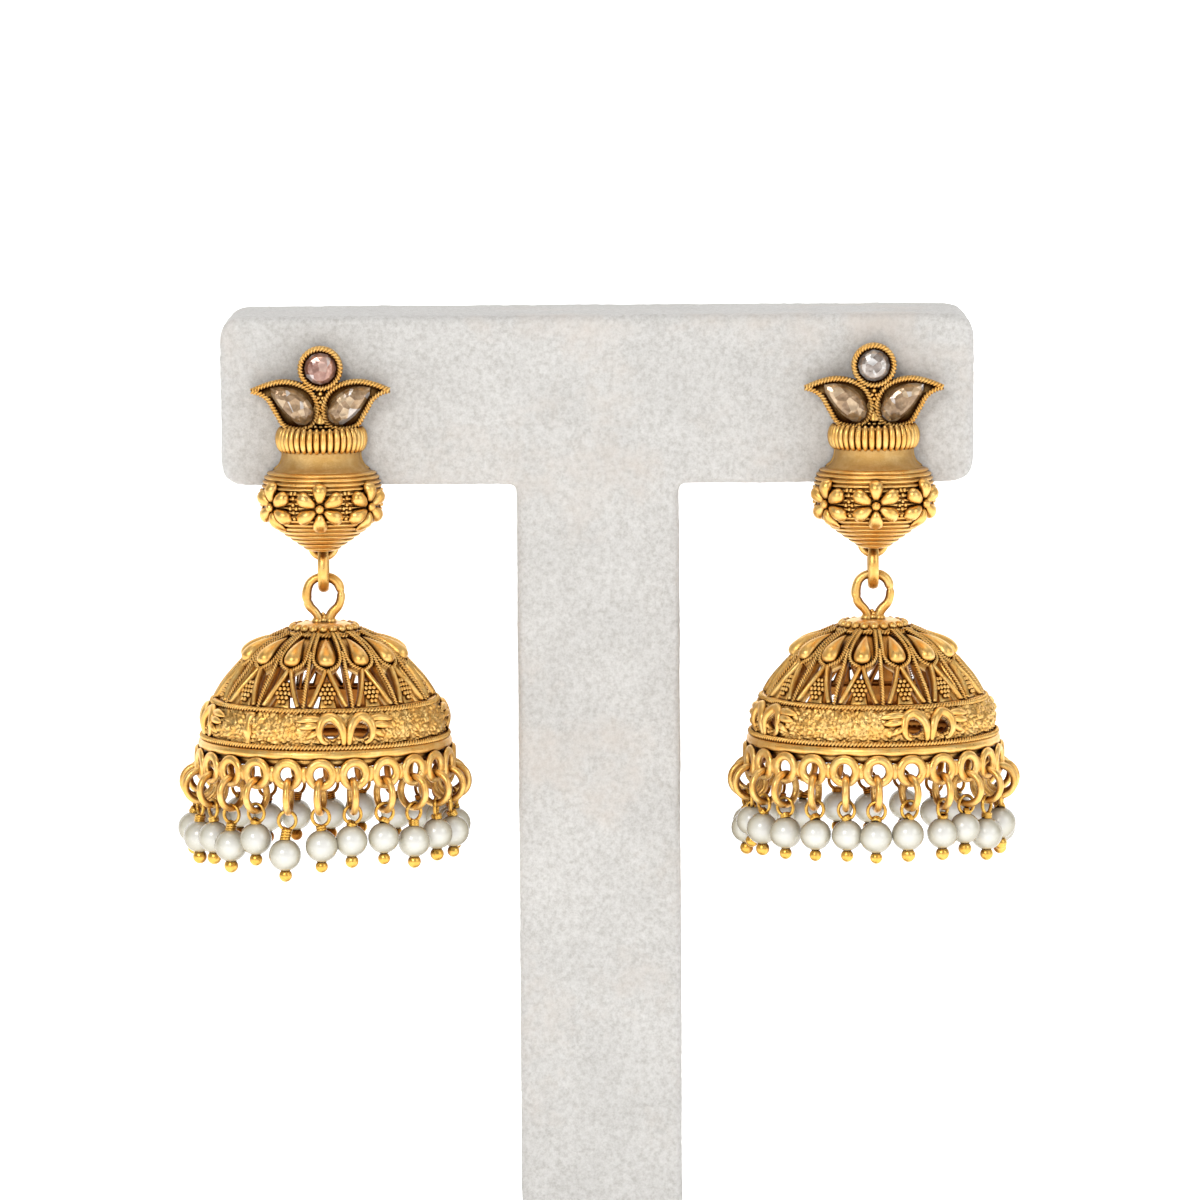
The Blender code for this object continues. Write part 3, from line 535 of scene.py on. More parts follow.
class Nodes:
    """A short way to wire a material's nodes."""

    def __init__(self, name):
        self.material = bpy.data.materials.new(name)
        self.material.use_nodes = True
        self.tree = self.material.node_tree
        self.shader = self.tree.nodes["Principled BSDF"]
        self.where = self.add("ShaderNodeTexCoord").outputs["Object"]

    def add(self, kind, **settings):
        """A node with its settings."""
        node = self.tree.nodes.new(kind)
        for key, value in settings.items():
            setattr(node, key, value)
        return node

    def link(self, source, target):
        """Join two sockets."""
        self.tree.links.new(source, target)

    def fill(self, socket, value):
        """Give a socket another socket's value, a number or a colour."""
        if isinstance(value, bpy.types.NodeSocket):
            self.link(value, socket)
        elif isinstance(value, tuple):
            socket.default_value = (*value, 1.0)
        else:
            socket.default_value = value

    def noise(self, scale, detail=3.0, rough=0.6):
        """Noise in object space; scale is in features a metre."""
        node = self.add("ShaderNodeTexNoise")
        node.inputs["Scale"].default_value = scale
        node.inputs["Detail"].default_value = detail
        node.inputs["Roughness"].default_value = rough
        self.link(self.where, node.inputs["Vector"])
        return node.outputs["Fac"]

    def near(self, distance, samples):
        """How open a spot is within a distance, from 0 for buried to 1."""
        node = self.add("ShaderNodeAmbientOcclusion", samples=samples)
        node.inputs["Distance"].default_value = distance
        return node.outputs["AO"]

    def ramp(self, source, *stops, blend="LINEAR"):
        """A colour ramp of (place, colour) stops."""
        node = self.add("ShaderNodeValToRGB")
        bar = node.color_ramp
        bar.interpolation = blend
        while len(bar.elements) < len(stops):
            bar.elements.new(0.5)
        for element, (place, colour) in zip(bar.elements, stops):
            element.position = place
            element.color = (*colour, 1.0)
        self.link(source, node.inputs["Fac"])
        return node.outputs["Color"]

    def mix(self, share, first, second, how="MIX"):
        """Mix two colours by a share, each a socket or a fixed value."""
        node = self.add("ShaderNodeMix", data_type="RGBA", blend_type=how)
        colours = [socket for socket in node.inputs if socket.type == "RGBA"]
        self.fill(node.inputs[0], share)
        self.fill(colours[0], first)
        self.fill(colours[1], second)
        return next(socket for socket in node.outputs if socket.type == "RGBA")

    def math(self, how, *values):
        """A vector or number worked out from sockets and fixed values."""
        vector = how in ("SUBTRACT", "NORMALIZE", "DOT_PRODUCT")
        node = self.add("ShaderNodeVectorMath" if vector else "ShaderNodeMath", operation=how)
        for socket, value in zip(node.inputs, values):
            self.fill(socket, value)
        return node.outputs["Value" if how == "DOT_PRODUCT" else 0]

    def outward(self):
        """How far a spot faces away from its bell's axis, from 0 for the inside to 1."""
        parts = self.add("ShaderNodeSeparateXYZ")
        self.link(self.where, parts.inputs[0])
        axis = self.add("ShaderNodeCombineXYZ")
        middle = joint["right_swing"]
        self.link(self.math("MULTIPLY", self.math("SIGN", parts.outputs["X"]), middle.x), axis.inputs["X"])
        axis.inputs["Y"].default_value = middle.y
        self.link(parts.outputs["Z"], axis.inputs["Z"])
        away = self.math("NORMALIZE", self.math("SUBTRACT", self.where, axis.outputs[0]))
        facing = self.math("DOT_PRODUCT", away, self.add("ShaderNodeNewGeometry").outputs["Normal"])
        return self.math("MULTIPLY_ADD", facing, 0.5, 0.5)

    def bump(self, height, strength, distance):
        """A bump into the shader's normal."""
        node = self.add("ShaderNodeBump")
        node.inputs["Strength"].default_value = strength
        node.inputs["Distance"].default_value = distance
        self.link(height, node.inputs["Height"])
        self.link(node.outputs["Normal"], self.shader.inputs["Normal"])

    def rough(self, source, low, high):
        """A roughness that varies between two values."""
        self.link(self.ramp(source, (0.3, grey(low)), (0.7, grey(high))), self.shader.inputs["Roughness"])

    def set(self, **values):
        """Fixed values on the shader's own sockets."""
        for key, value in values.items():
            self.shader.inputs[key.replace("_", " ")].default_value = value


def grey(value):
    """A grey colour."""
    return (value, value, value)


def gold(name, light, mid, dark, rough, grain, grain_mm, crevice_mm=0.5):
    """Antique gold: bright where it is rubbed, brown in its hollows, with painted shade deep inside and on
    sides facing a bell's axis, and a fine grain.
    """
    n = Nodes(name)
    tone = n.ramp(n.noise(900.0, 4.0, 0.65), (0.42, mid), (0.74, light))
    depth = n.ramp(n.near(crevice_mm * MM, 6), (0.22, grey(1.0)), (0.74, grey(0.0)))
    # Painted shade: spots buried within 9 mm, such as a bell's inside, are darkened to deep brown.
    inside = n.ramp(n.near(9.0 * MM, 4), (0.16, (0.16, 0.085, 0.045)), (0.60, grey(1.0)))
    shaded = n.mix(1.0, n.mix(depth, tone, dark), inside, "MULTIPLY")
    # Painted shade: sides that face a bell's axis, into its hollow, are darkened to brown.
    painted_inward_shade = n.ramp(n.outward(), (0.22, (0.34, 0.21, 0.13)), (0.48, grey(1.0)))
    n.link(n.mix(1.0, shaded, painted_inward_shade, "MULTIPLY"), n.shader.inputs["Base Color"])
    n.rough(n.noise(2600.0), rough - 0.07, rough + 0.09)
    n.bump(n.noise(1.0 / (grain_mm * MM), 3.0, 0.7), grain, 0.07 * MM)
    n.set(Metallic=1.0)
    return n.material


def pearl_finish():
    """Imitation pearl: creamy, with painted shade that darkens it towards its rim, a soft coat and faint
    cloudiness.
    """
    n = Nodes("pearl_finish")
    # Painted shade: the colour darkens from the bright middle to the rim as the surface turns away from the
    # view.
    edge = n.add("ShaderNodeLayerWeight")
    edge.inputs["Blend"].default_value = 0.42
    heart, body = (0.02, (0.83, 0.82, 0.77)), (0.14, (0.74, 0.72, 0.63))
    side, rim = (0.36, (0.54, 0.50, 0.38)), (0.72, (0.28, 0.23, 0.13))
    face = n.ramp(edge.outputs["Facing"], heart, body, side, rim)
    cloud = n.ramp(n.noise(700.0, 3.0, 0.5), (0.3, grey(0.90)), (0.7, grey(1.0)))
    n.link(n.mix(1.0, face, cloud, "MULTIPLY"), n.shader.inputs["Base Color"])
    n.rough(n.noise(2500.0), 0.16, 0.30)
    n.bump(n.noise(1800.0, 2.0), 0.12, 0.05 * MM)
    n.set(Coat_Weight=0.8, Coat_Roughness=0.15, Specular_IOR_Level=0.6)
    return n.material


def stone_finish(name, pale, deep, shadow):
    """Foil-backed cut stone: facets of pale and deep tone, with some facets painted dark as shadow and some
    near white as a painted highlight, under a clear polish.
    """
    n = Nodes(name)
    cells = n.add("ShaderNodeTexVoronoi", feature="F1")
    cells.inputs["Scale"].default_value = 1150.0
    n.link(n.where, cells.inputs["Vector"])
    # Painted light: the shadow stop and the near-white top stop paint dark and glinting facets.
    stops = (0.22, shadow), (0.45, deep), (0.62, pale), (0.80, grey(0.92))
    facets = n.ramp(cells.outputs["Color"], *stops, blend="CONSTANT")
    cloudy = n.ramp(n.noise(1900.0, 4.0), (0.35, shadow), (0.55, deep), (0.75, pale))
    n.link(n.mix(0.5, facets, cloudy), n.shader.inputs["Base Color"])
    n.bump(cells.outputs["Distance"], 0.6, 0.14 * MM)
    n.set(Metallic=0.35, Roughness=0.16, Coat_Weight=1.0, Coat_Roughness=0.03, Specular_IOR_Level=0.8)
    return n.material


def velvet_finish():
    """Off-white velvet: a mottled short pile with faint beige stains."""
    n = Nodes("velvet_finish")
    dim, mid, pale = (0.34, (0.58, 0.56, 0.53)), (0.52, (0.72, 0.705, 0.68)), (0.70, (0.82, 0.805, 0.785))
    speck = n.ramp(n.noise(2300.0, 5.0, 0.75), dim, mid, pale)
    cloud = n.ramp(n.noise(160.0, 4.0, 0.6), (0.35, grey(0.93)), (0.65, grey(1.0)))
    stain = n.ramp(n.noise(48.0, 5.0, 0.7), (0.53, grey(0.0)), (0.70, grey(0.6)))
    pile = n.mix(1.0, speck, cloud, "MULTIPLY")
    n.link(n.mix(stain, pile, (0.73, 0.65, 0.58)), n.shader.inputs["Base Color"])
    n.bump(n.noise(3400.0, 6.0, 0.8), 0.9, 0.16 * MM)
    n.set(Roughness=0.95, Sheen_Weight=0.35, Sheen_Roughness=0.45, Specular_IOR_Level=0.15)
    return n.material


def floor_finish():
    """A plain pale floor and backdrop with a glow of its own."""
    n = Nodes("floor_finish")
    n.link(n.ramp(n.noise(12.0), (0.3, grey(0.90)), (0.7, grey(0.93))), n.shader.inputs["Base Color"])
    n.set(Roughness=0.9, Emission_Strength=0.70)
    n.shader.inputs["Emission Color"].default_value = WHITE
    return n.material


HOLLOW = (0.40, 0.18, 0.035)
WIRE_HOLLOW = (0.26, 0.10, 0.015)
GOLD = gold("antique_gold", (1.0, 0.71, 0.28), (0.95, 0.54, 0.145), HOLLOW, 0.33, 0.35, 0.16)
GOLD_SANDY = gold("sandy_gold", (0.82, 0.57, 0.25), (0.68, 0.41, 0.135), HOLLOW, 0.46, 0.9, 0.11)
GOLD_WIRE = gold("wire_gold", (0.96, 0.62, 0.16), (0.86, 0.48, 0.09), WIRE_HOLLOW, 0.30, 0.25, 0.2, 0.3)
PEARL = pearl_finish()
ROSE_STONE = stone_finish("rose_stone", (0.80, 0.55, 0.46), (0.50, 0.26, 0.19), (0.26, 0.11, 0.08))
CLEAR_STONE = stone_finish("clear_stone", (0.78, 0.74, 0.70), (0.44, 0.38, 0.34), (0.22, 0.17, 0.14))
CHAMPAGNE_STONE = stone_finish("champagne_stone", (0.78, 0.59, 0.38), (0.46, 0.29, 0.14), (0.22, 0.12, 0.05))
ROUND_STONE = {"left": ROSE_STONE, "right": CLEAR_STONE}
VELVET = velvet_finish()

DOME_LINE = spline(DOME, 400)
BAND_LINE = spline(BAND, 200)
POT_LINE = spline(POT, 300)


def toward(turn):
    """The level direction at an angle in degrees from the front, positive to +X."""
    angle = np.radians(turn)
    return np.stack([np.sin(angle), -np.cos(angle), np.zeros_like(angle)], axis=-1)


def on_line(line, turn, drop, lift=0.0):
    """Points on a turned surface at angles and drops, and the outward normals there."""
    turn = np.asarray(turn, float)
    drop = np.broadcast_to(np.asarray(drop, float), turn.shape)
    radius = np.interp(drop, line[:, 1], line[:, 0])
    lean = np.interp(drop, line[:, 1], np.gradient(line[:, 0], line[:, 1]))
    level = toward(turn)
    normal = unit(level + np.stack([0 * lean, 0 * lean, lean], axis=-1))
    place = level * radius[..., None] + np.stack([0 * drop, 0 * drop, -drop], axis=-1)
    return place + normal * np.asarray(lift, float)[..., None], normal


def circle(radius, height, count=180):
    """A level circle about the axis."""
    turn = np.linspace(0, 360, count, endpoint=False)
    return toward(turn) * radius + upward(height)


def upright_circle(centre, across, side, tall, count):
    """A standing circle or oval, with its level radius along a direction."""
    angle = np.linspace(0, FULL_TURN, count, endpoint=False)[:, None]
    return centre + np.cos(angle) * np.asarray(side, float) * across + np.sin(angle) * upward(tall)


def pot_radius(height):
    """The plain pot's radius at a height over the pin."""
    rows = POT_LINE[::-1]
    return np.interp(height, rows[:, 1], rows[:, 0])


def on_pot(turn_centre, aside, height, lift):
    """Points over the pot at mm aside of a turn and mm over the pin."""
    aside, height, lift = (np.asarray(value, float) for value in (aside, height, lift))
    radius = pot_radius(height)
    turn = turn_centre + np.degrees(aside / radius)
    return toward(turn) * (radius + lift)[..., None] + np.stack([0 * height, 0 * height, height], axis=-1)


def make_pot(name, place):
    """The ridged pot with its closed flat back. The stud's own origin is its pin on that back."""
    top, foot = POT[0][1], POT[-1][1]
    heights = np.linspace(top, foot, POT_ROWS)
    off = (top - heights) % RIDGE_PITCH - RIDGE_PITCH / 2
    ridge = np.sqrt(np.clip(1 - (off / RIDGE_HALF_WIDTH) ** 2, 0, 1)) * RIDGE_HEIGHT
    edge = np.stack([pot_radius(heights) + ridge - RIDGE_HEIGHT, heights], axis=1)
    pot = Shape()
    pot.turned(np.vstack([(AXIS_GAP, top), edge, (AXIS_GAP, foot - POT_TIP)]), HALF_SIDES, *FRONT_HALF)
    pot.make(name + "_pot", GOLD, "root", place)


def make_neck(name, place):
    """The pot's sandy neck, with a lip at its foot and a round edge at each side."""
    line = spline(NECK, 24)
    lip = [line[-1] + step for step in NECK_LIP]
    section = np.vstack([(AXIS_GAP, NECK[0][1]), line, lip, (AXIS_GAP, NECK[-1][1] - NECK_UNDER)])
    neck = Shape()
    neck.turned(section, HALF_SIDES, *FRONT_HALF)
    for side in (-1, 1):
        level = side * (line[:, 0] - NECK_EDGE_IN)
        path = np.stack([level, np.full(len(line), -NECK_EDGE_OUT), line[:, 1]], axis=1)
        neck.tube(path, NECK_EDGE_R, FRONT)
    neck.make(name + "_neck", GOLD_SANDY, "root", place)


def make_collar(name, place):
    """The gadrooned collar: upright ribs on a round core."""
    collar = Shape()
    angle = np.linspace(0, FULL_TURN, 24, endpoint=False)
    core = np.stack([COLLAR_R + COLLAR_CORE[0] * np.cos(angle), COLLAR_CORE[1] * np.sin(angle)], axis=1)
    collar.turned(core, 61, *FRONT_HALF)
    bow = np.linspace(-RIB_BOW_ANGLE, RIB_BOW_ANGLE, 15)
    widths = RIB_HALF_WIDTH * np.sqrt(np.clip(1.0 - (bow / RIB_FADE_ANGLE) ** 2, 0, 1))
    level, rise = np.cos(bow)[:, None], np.sin(bow)[:, None]
    for turn in np.linspace(-RIB_LAST_TURN, RIB_LAST_TURN, RIBS):
        out = toward(turn)
        path = out * (RIB_R + RIB_BOW[0] * level) + upward(RIB_BOW[1]) * rise
        normal = out * level + upward(1.0) * rise
        collar.pod(path, widths, widths * RIB_STAND, toward(turn + 90.0), normal, 10, 1.0)
    collar.make(name + "_collar", GOLD, "root", place)


def plump(share, start, end):
    """The half width of a teardrop along its length, at most one."""
    rows = share**start * np.sqrt(np.clip(1 - share**end, 0, 1))
    return rows / rows.max() + 0.01


def flower_petal(shape, turn, angle):
    """One petal of a flower on the pot, pointing at an angle from its heart."""
    out = np.linspace(*FLOWER_REACH, 16)
    share = (out - out[0]) / (out[-1] - out[0])
    aside = out * math.cos(angle)
    height = FLOWER_UP + out * math.sin(angle)
    path = on_pot(turn, aside, height, FLOWER_LIFT[0] + FLOWER_LIFT[1] * np.sin(math.pi * share))
    widths = FLOWER_PETAL_HALF * plump(share, 0.6, 3.4)
    normal = unit(toward(turn + np.degrees(aside / pot_radius(height))))
    across = unit(np.cross(unit(np.gradient(path, axis=0)), normal))
    shape.pod(path, widths, widths * 0.95, across, normal, 12, 0.6)


def make_flowers(name, place):
    """Three six-petalled flowers round the pot, with granules between them."""
    shape = Shape()
    for turn in FLOWER_TURNS:
        for petal in range(FLOWER_PETALS):
            flower_petal(shape, turn, math.radians(90.0 + 360.0 / FLOWER_PETALS * petal))
        shape.ball(on_pot(turn, 0.0, FLOWER_UP, FLOWER_HEART_LIFT), FLOWER_HEART_R, 14, 10)
    for turn in SEED_TURNS:
        for aside, up in SEEDS:
            shape.ball(on_pot(turn, aside, FLOWER_UP + up, SEED_LIFT), SEED_R, 8, 6)
    shape.make(name + "_flowers", GOLD, "root", place)


def stand_up(outline, mirror=1):
    """An outline of mm to the outside and mm up, as points in the stud's back plane."""
    rows = np.asarray(outline, float)
    return np.stack([rows[:, 0] * mirror, np.zeros(len(rows)), rows[:, 1]], axis=1)


def forward(depth):
    """A step to the front."""
    return np.array([0, -depth, 0])


def plate(shape, outline, thickness):
    """A flat plate on the stud's back plane."""
    shape.shell(np.stack([outline + forward(thickness), outline]))


def leaf_bezel(solid, ropes, mirror):
    """One leaf's plate, wall and rope, with its sharp tip kept."""
    line = stand_up(spline(LEAF + (LEAF[0],), 121)[:-1], mirror)
    plate(solid, line, LEAF_PLATE)
    edge = np.vstack([line, line[:1]])
    solid.tube(edge + forward(LEAF_WALL_DEPTH), BEZEL_WALL_R, FRONT, tall=BEZEL_WALL_TALL)
    pitch, depth = LEAF_ROPE
    ropes.rope(edge + forward(depth), BEZEL_ROPE_R, pitch, FRONT)


def round_bezel(solid, ropes):
    """The round bezel's plate, wall and rope."""
    angle = np.linspace(0, FULL_TURN, 60, endpoint=False)
    disc = np.stack([np.sin(angle), 0 * angle, np.cos(angle)], axis=1)
    line = disc * ROUND_R + upward(ROUND_UP)
    plate(solid, line, ROUND_PLATE)
    solid.tube(line + forward(ROUND_WALL_DEPTH), BEZEL_WALL_R, FRONT, closed=True, tall=BEZEL_WALL_TALL)
    pitch, depth = ROUND_ROPE
    line = disc * (ROUND_R - ROUND_ROPE_INSET) + upward(ROUND_UP)
    ropes.rope(line + forward(depth), BEZEL_ROPE_R, pitch, FRONT, True)


def cone_between_leaves(shape):
    """The small raised cone under the granules."""
    tall = np.linspace(*CONE_SPAN, 10)
    share = (tall - tall[0]) / (tall[-1] - tall[0])
    path = np.stack([0 * tall, np.full(len(tall), -CONE_DEPTH), tall], axis=1)
    widths = CONE_HALF_WIDTH * np.sqrt(1 - share) * np.minimum(1, share * 6 + 0.3)
    shape.pod(path, widths, CONE_HEIGHT * (1 - share) + 0.1, SIDEWAYS, FRONT, 10, 0.5)


def make_bezels(name, place):
    """The bezels, their rope borders, and the web with its granules between the leaves."""
    solid, ropes = Shape(), Shape()
    for mirror in (-1, 1):
        leaf_bezel(solid, ropes, mirror)
    round_bezel(solid, ropes)
    plate(solid, stand_up(WEB), WEB_PLATE)
    for aside, up, size in GRANULES:
        ropes.ball((aside, -GRANULE_DEPTH, up), size, 10, 7)
    cone_between_leaves(ropes)
    solid.make(name + "_bezels", GOLD_SANDY, "root", place)
    ropes.make(name + "_bezel_ropes", GOLD, "root", place)


def cut_stone(outline, crown, pavilion, depth, table):
    """A faceted stone from its girdle outline: table, two rows of crown facets and a closed back."""
    middle = outline.mean(axis=0)
    back, girdle = (STONE_BACK, -pavilion, False), (1.0, 0.0, False)
    shoulder = (STONE_SHOULDER, crown * STONE_SHOULDER_RISE, True)
    rows = []
    for share, height, between in (back, girdle, shoulder, (table, crown, False)):
        ring = middle + (outline - middle) * share
        if between:
            ring = (ring + np.roll(ring, -1, axis=0)) / 2
        rows.append(ring + forward(depth + height))
    count = len(outline)
    faces = [tuple(range(count)), tuple(range(3 * count, 4 * count))]
    for side in range(count):
        after = (side + 1) % count
        faces.append((side, after, count + after, count + side))
        faces.append((count + side, count + after, 2 * count + side))
        faces.append((count + after, 2 * count + after, 2 * count + side))
        faces.append((2 * count + side, 2 * count + after, 3 * count + after))
        faces.append((2 * count + side, 3 * count + after, 3 * count + side))
    shape = Shape()
    shape.add(np.vstack(rows), faces)
    return shape


def make_stones(name, place, centre_x):
    """The round stone and the two teardrop stones."""
    angle = np.linspace(0, FULL_TURN, ROUND_STONE_SIDES, endpoint=False)
    ring = np.stack([np.sin(angle), 0 * angle, np.cos(angle)], axis=1) * ROUND_STONE_R + upward(ROUND_UP)
    stone = cut_stone(ring, **ROUND_CUT)
    stone = stone.make(name + "_round_cut_stone", ROUND_STONE[name], "root", place, "crystal", False)
    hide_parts(name + "_round_stone")
    for mirror in (-1, 1):
        where = "outer" if mirror * centre_x > 0 else "inner"
        ring = stand_up(spline(TEARDROP, TEARDROP_SIDES, True), mirror)
        stone = cut_stone(ring, **TEARDROP_CUT)
        stone = stone.make(f"{name}_{where}_leaf_cut_stone", CHAMPAGNE_STONE, "root", place, "crystal", False)
        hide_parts(f"{name}_{where}_leaf_stone")


def make_hanger(name, place, loop):
    """The loop behind the pot's tip, its lug and the ear post."""
    shape = Shape()
    centre = loop - np.array(place) / MM + upward(LOOP_R)
    shape.tube(upright_circle(centre, LOOP_R, SIDEWAYS, LOOP_R, 40), LOOP_WIRE_R, BACK, 12, True)
    lug = [centre + (0, 0, 1.1), centre + (0, -0.9, 1.35), (0, -0.7, centre[2] + 1.45)]
    shape.tube(spline(lug, 16), LUG_R, SIDEWAYS, 10)
    shape.tube(np.array(POST_LINE), np.array([POST_R, POST_R, POST_R, POST_TIP_R]), UP, 12)
    shape.make(name + "_hanger", GOLD, "root", place)


def make_jump_ring(name, place):
    """The ring between the stud and the bell, about its own centre."""
    shape = Shape()
    path = upright_circle(np.zeros(3), LINK_DEPTH_R, BACK, LINK_R, 64)
    shape.tube(path, LINK_WIRE_R, SIDEWAYS, 14, True, tall=LINK_WIRE_WIDE)
    ring = shape.make(name + "_link_ring", GOLD, name + "_link", place)
    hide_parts(name + "_jump_ring")


def make_eye(name, place):
    """The bell's eye, its ends soldered into the cap. The bell's origin is the middle of the cap's top."""
    shape = Shape()
    half = [(aside, 0, up) for aside, up in EYE]
    path = spline(half + [(-aside, 0, up) for aside, _, up in half[-2::-1]], EYE_STEPS)
    share = np.linspace(0, 1, EYE_STEPS)
    nick = sum(depth * np.exp(-(((share - place_on) / width) ** 2)) for place_on, depth, width in EYE_NICKS)
    shape.tube(path, EYE_WIRE_R * (1.0 + 0.07 * np.sin(share * 19) - nick), BACK, 12)
    for aside, up, size in EYE_SOLDER:
        shape.ball((aside, 0, up), size)
    shape.make(name + "_eye", GOLD, name + "_drop", place)


def make_cap(name, place):
    """The cap: a low disc with a ring of beads and a rope under it."""
    shape = Shape()
    shape.turned(CAP, 72)
    out, height = CAP_BEAD_PLACE
    for index in range(CAP_BEADS):
        shape.ball(toward(360.0 / CAP_BEADS * index) * out + upward(height), CAP_BEAD_R, 14, 10)
    shape.rope(circle(*CAP_ROPE), BEZEL_ROPE_R, ROUND_ROPE[0], UP, True)
    shape.make(name + "_cap", GOLD, name + "_drop", place)


def dome_path(turn, rows, count, lift=0.0):
    """A path over the dome from rows of shares of the petal pitch and drops, with its normals."""
    rows = spline([(share * PETAL_PITCH, drop) for share, drop in rows], count)
    return on_line(DOME_LINE, turn + rows[:, 0], rows[:, 1], lift)


def rope_on_wall(ropes, walls, turn, rows, count):
    """A rope over the dome, standing on an upright strip."""
    path, normal = dome_path(turn, rows, count, DOME_ROPE_LIFT)
    ropes.rope(path, *DOME_ROPE, normal)
    walls.tube(path[::3] - normal[::3] * WALL_SINK, WALL_R, normal[::3], 6, tall=WALL_TALL)


def dome_petal(smooth, turn, side):
    """A raised teardrop and the thin sheet behind it, within its rope outline."""
    back = np.linspace(PETAL_ROPE[0][1], PETAL_ROPE[-1][1], 14)
    spread = np.interp(back, [row[1] for row in PETAL_ROPE], [row[0] for row in PETAL_ROPE])
    reach = np.radians(spread * PETAL_PITCH) * np.interp(back, DOME_LINE[:, 1], DOME_LINE[:, 0])
    path, normal = on_line(DOME_LINE, np.full(14, turn), back, -PETAL_BACK_SINK)
    smooth.pod(path, reach + 0.02, np.full(14, PETAL_BACK_HALF), side, normal, 8, 1.0)
    share = np.linspace(0, 1, 20)
    first, span = PETAL_SPAN
    path, normal = on_line(DOME_LINE, np.full(20, turn), first + span * share, PETAL_LIFT)
    widths = PETAL_HALF_WIDTH * plump(share, 0.85, 4.0)
    smooth.pod(path, widths, widths, side, normal, 14, 0.6)


def dome_legs(smooth, turn):
    """The two smooth bars that spread from a petal's tip."""
    for mirror in (-1, 1):
        path, normal = dome_path(turn, [(share * mirror, drop) for share, drop in LEG], 24, -LEG_SINK)
        smooth.tube(path - normal * LEG_SINK, LEG_R, normal, 8, tall=LEG_TALL)


def dome_cluster(smooth, turn, side):
    """A cluster of granules on its plate between two bars."""
    share = np.linspace(0, 1, 10)
    (first, span), (half, spread) = PLATE_SPAN, PLATE_HALF_WIDTH
    path, normal = on_line(DOME_LINE, np.full(10, turn), first + span * share, -PLATE_SINK)
    smooth.pod(path, half + spread * share, np.full(10, PLATE_HALF), side, normal, 8, 1.0)
    for aside, drop in CLUSTER:
        radius = float(np.interp(drop, DOME_LINE[:, 1], DOME_LINE[:, 0]))
        spot, _ = on_line(DOME_LINE, turn + math.degrees(aside / radius), drop, -CLUSTER_SINK)
        smooth.ball(spot, CLUSTER_R, 9, 6)


def make_lattice(name, place):
    """The pierced dome: petals in rope outlines, smooth bars, ropes between them and granule clusters."""
    ropes, smooth = Shape(), Shape()
    outline = [(-share, drop) for share, drop in PETAL_ROPE[:-1]] + list(PETAL_ROPE[::-1])
    for index in range(PETALS):
        turn = PETAL_TURN[name] + PETAL_PITCH * index
        side = toward(turn + 90.0)
        rope_on_wall(ropes, smooth, turn, outline, 90)
        dome_petal(smooth, turn, side)
        dome_legs(smooth, turn)
        rope_on_wall(ropes, smooth, turn, DIVIDER, 50)
        dome_cluster(smooth, turn, side)
    ropes.make(name + "_dome_ropes", GOLD, name + "_drop", place)
    smooth.make(name + "_dome_petals", GOLD, name + "_drop", place)


def crackle(spot):
    """The height in mm of the cast grain at a spot: raised cells parted by grooves, on a gentle swell."""
    scale, reach = CELL_WARP
    warped = spot + noise.noise_vector(spot * scale) * reach
    cells = noise.voronoi(warped * CELLS_PER_MM)[0]
    ridge = min(1.0, (cells[1] - cells[0]) * CELL_EDGE)
    swell, height = SWELL
    return CELL_HEIGHT * (math.sqrt(max(0.0, ridge)) - 0.5) + height * noise.noise(spot * swell)


def band_relief(turns, drops, radii):
    """The band's relief over its grid, fading out at both edges."""
    relief = np.zeros((BAND_ROWS, BAND_STEPS))
    for row, (drop, radius) in enumerate(zip(drops, radii)):
        for step, turn in enumerate(turns):
            relief[row, step] = crackle(Vector(toward(turn) * radius - upward(drop)))
    rows = np.arange(BAND_ROWS)
    fade = np.clip(np.minimum(rows, rows[::-1]) / BAND_FADE_ROWS, 0, 1)
    return relief * fade[:, None]


def in_arch(aside, rise):
    """Whether a spot of the band, in mm from a pair's middle, lies in one of its two arches."""
    across, up = abs(aside) - ARCH_HOLE["aside"], rise + ARCH_HOLE["down"]
    return math.hypot(across, up) < ARCH_HOLE["radius"]


def band_kept(name, turns, drops, radii):
    """Which cells of the band's grid are metal, and not cut through inside an arch."""
    middle = (drops[0] + drops[-1]) / 2
    half_cell = 0.2
    kept = np.ones((BAND_ROWS - 1, BAND_STEPS), bool)
    for row in range(BAND_ROWS - 1):
        rise = middle - (drops[row] + drops[row + 1]) / 2
        for step, turn in enumerate(turns):
            away = (turn + half_cell - CURL_TURN[name]) % CURL_PITCH
            if away > CURL_PITCH / 2:
                away -= CURL_PITCH
            kept[row, step] = not in_arch(math.radians(away) * radii[row], rise)
    return kept


def band_faces(kept):
    """Faces of the band's outer and inner skins, and of every edge and cut between them."""
    inner = BAND_ROWS * BAND_STEPS
    faces = []
    for row, step in np.argwhere(kept).tolist():
        after = (step + 1) % BAND_STEPS
        a, b = row * BAND_STEPS + step, row * BAND_STEPS + after
        c, d = b + BAND_STEPS, a + BAND_STEPS
        faces.append((a, b, c, d))
        faces.append((d + inner, c + inner, b + inner, a + inner))
        if row == 0 or not kept[row - 1, step]:
            faces.append((a, a + inner, b + inner, b))
        if row == BAND_ROWS - 2 or not kept[row + 1, step]:
            faces.append((d, c, c + inner, d + inner))
        if not kept[row, step - 1]:
            faces.append((a, d, d + inner, a + inner))
        if not kept[row, after]:
            faces.append((b, b + inner, c + inner, c))
    return faces


def solder_seam(shape):
    """The lumpy upright seam on the left band."""
    down = np.linspace(*SEAM_SPAN, 16)
    path, normal = on_line(BAND_LINE, np.full(16, SEAM_TURN), down, 0.02)
    widths = 0.42 + 0.14 * np.sin(down * 4.1)
    heights = 0.26 + 0.08 * np.cos(down * 5.3)
    shape.pod(path, widths, heights, toward(SEAM_TURN + 90.0), normal, 12, 0.8)


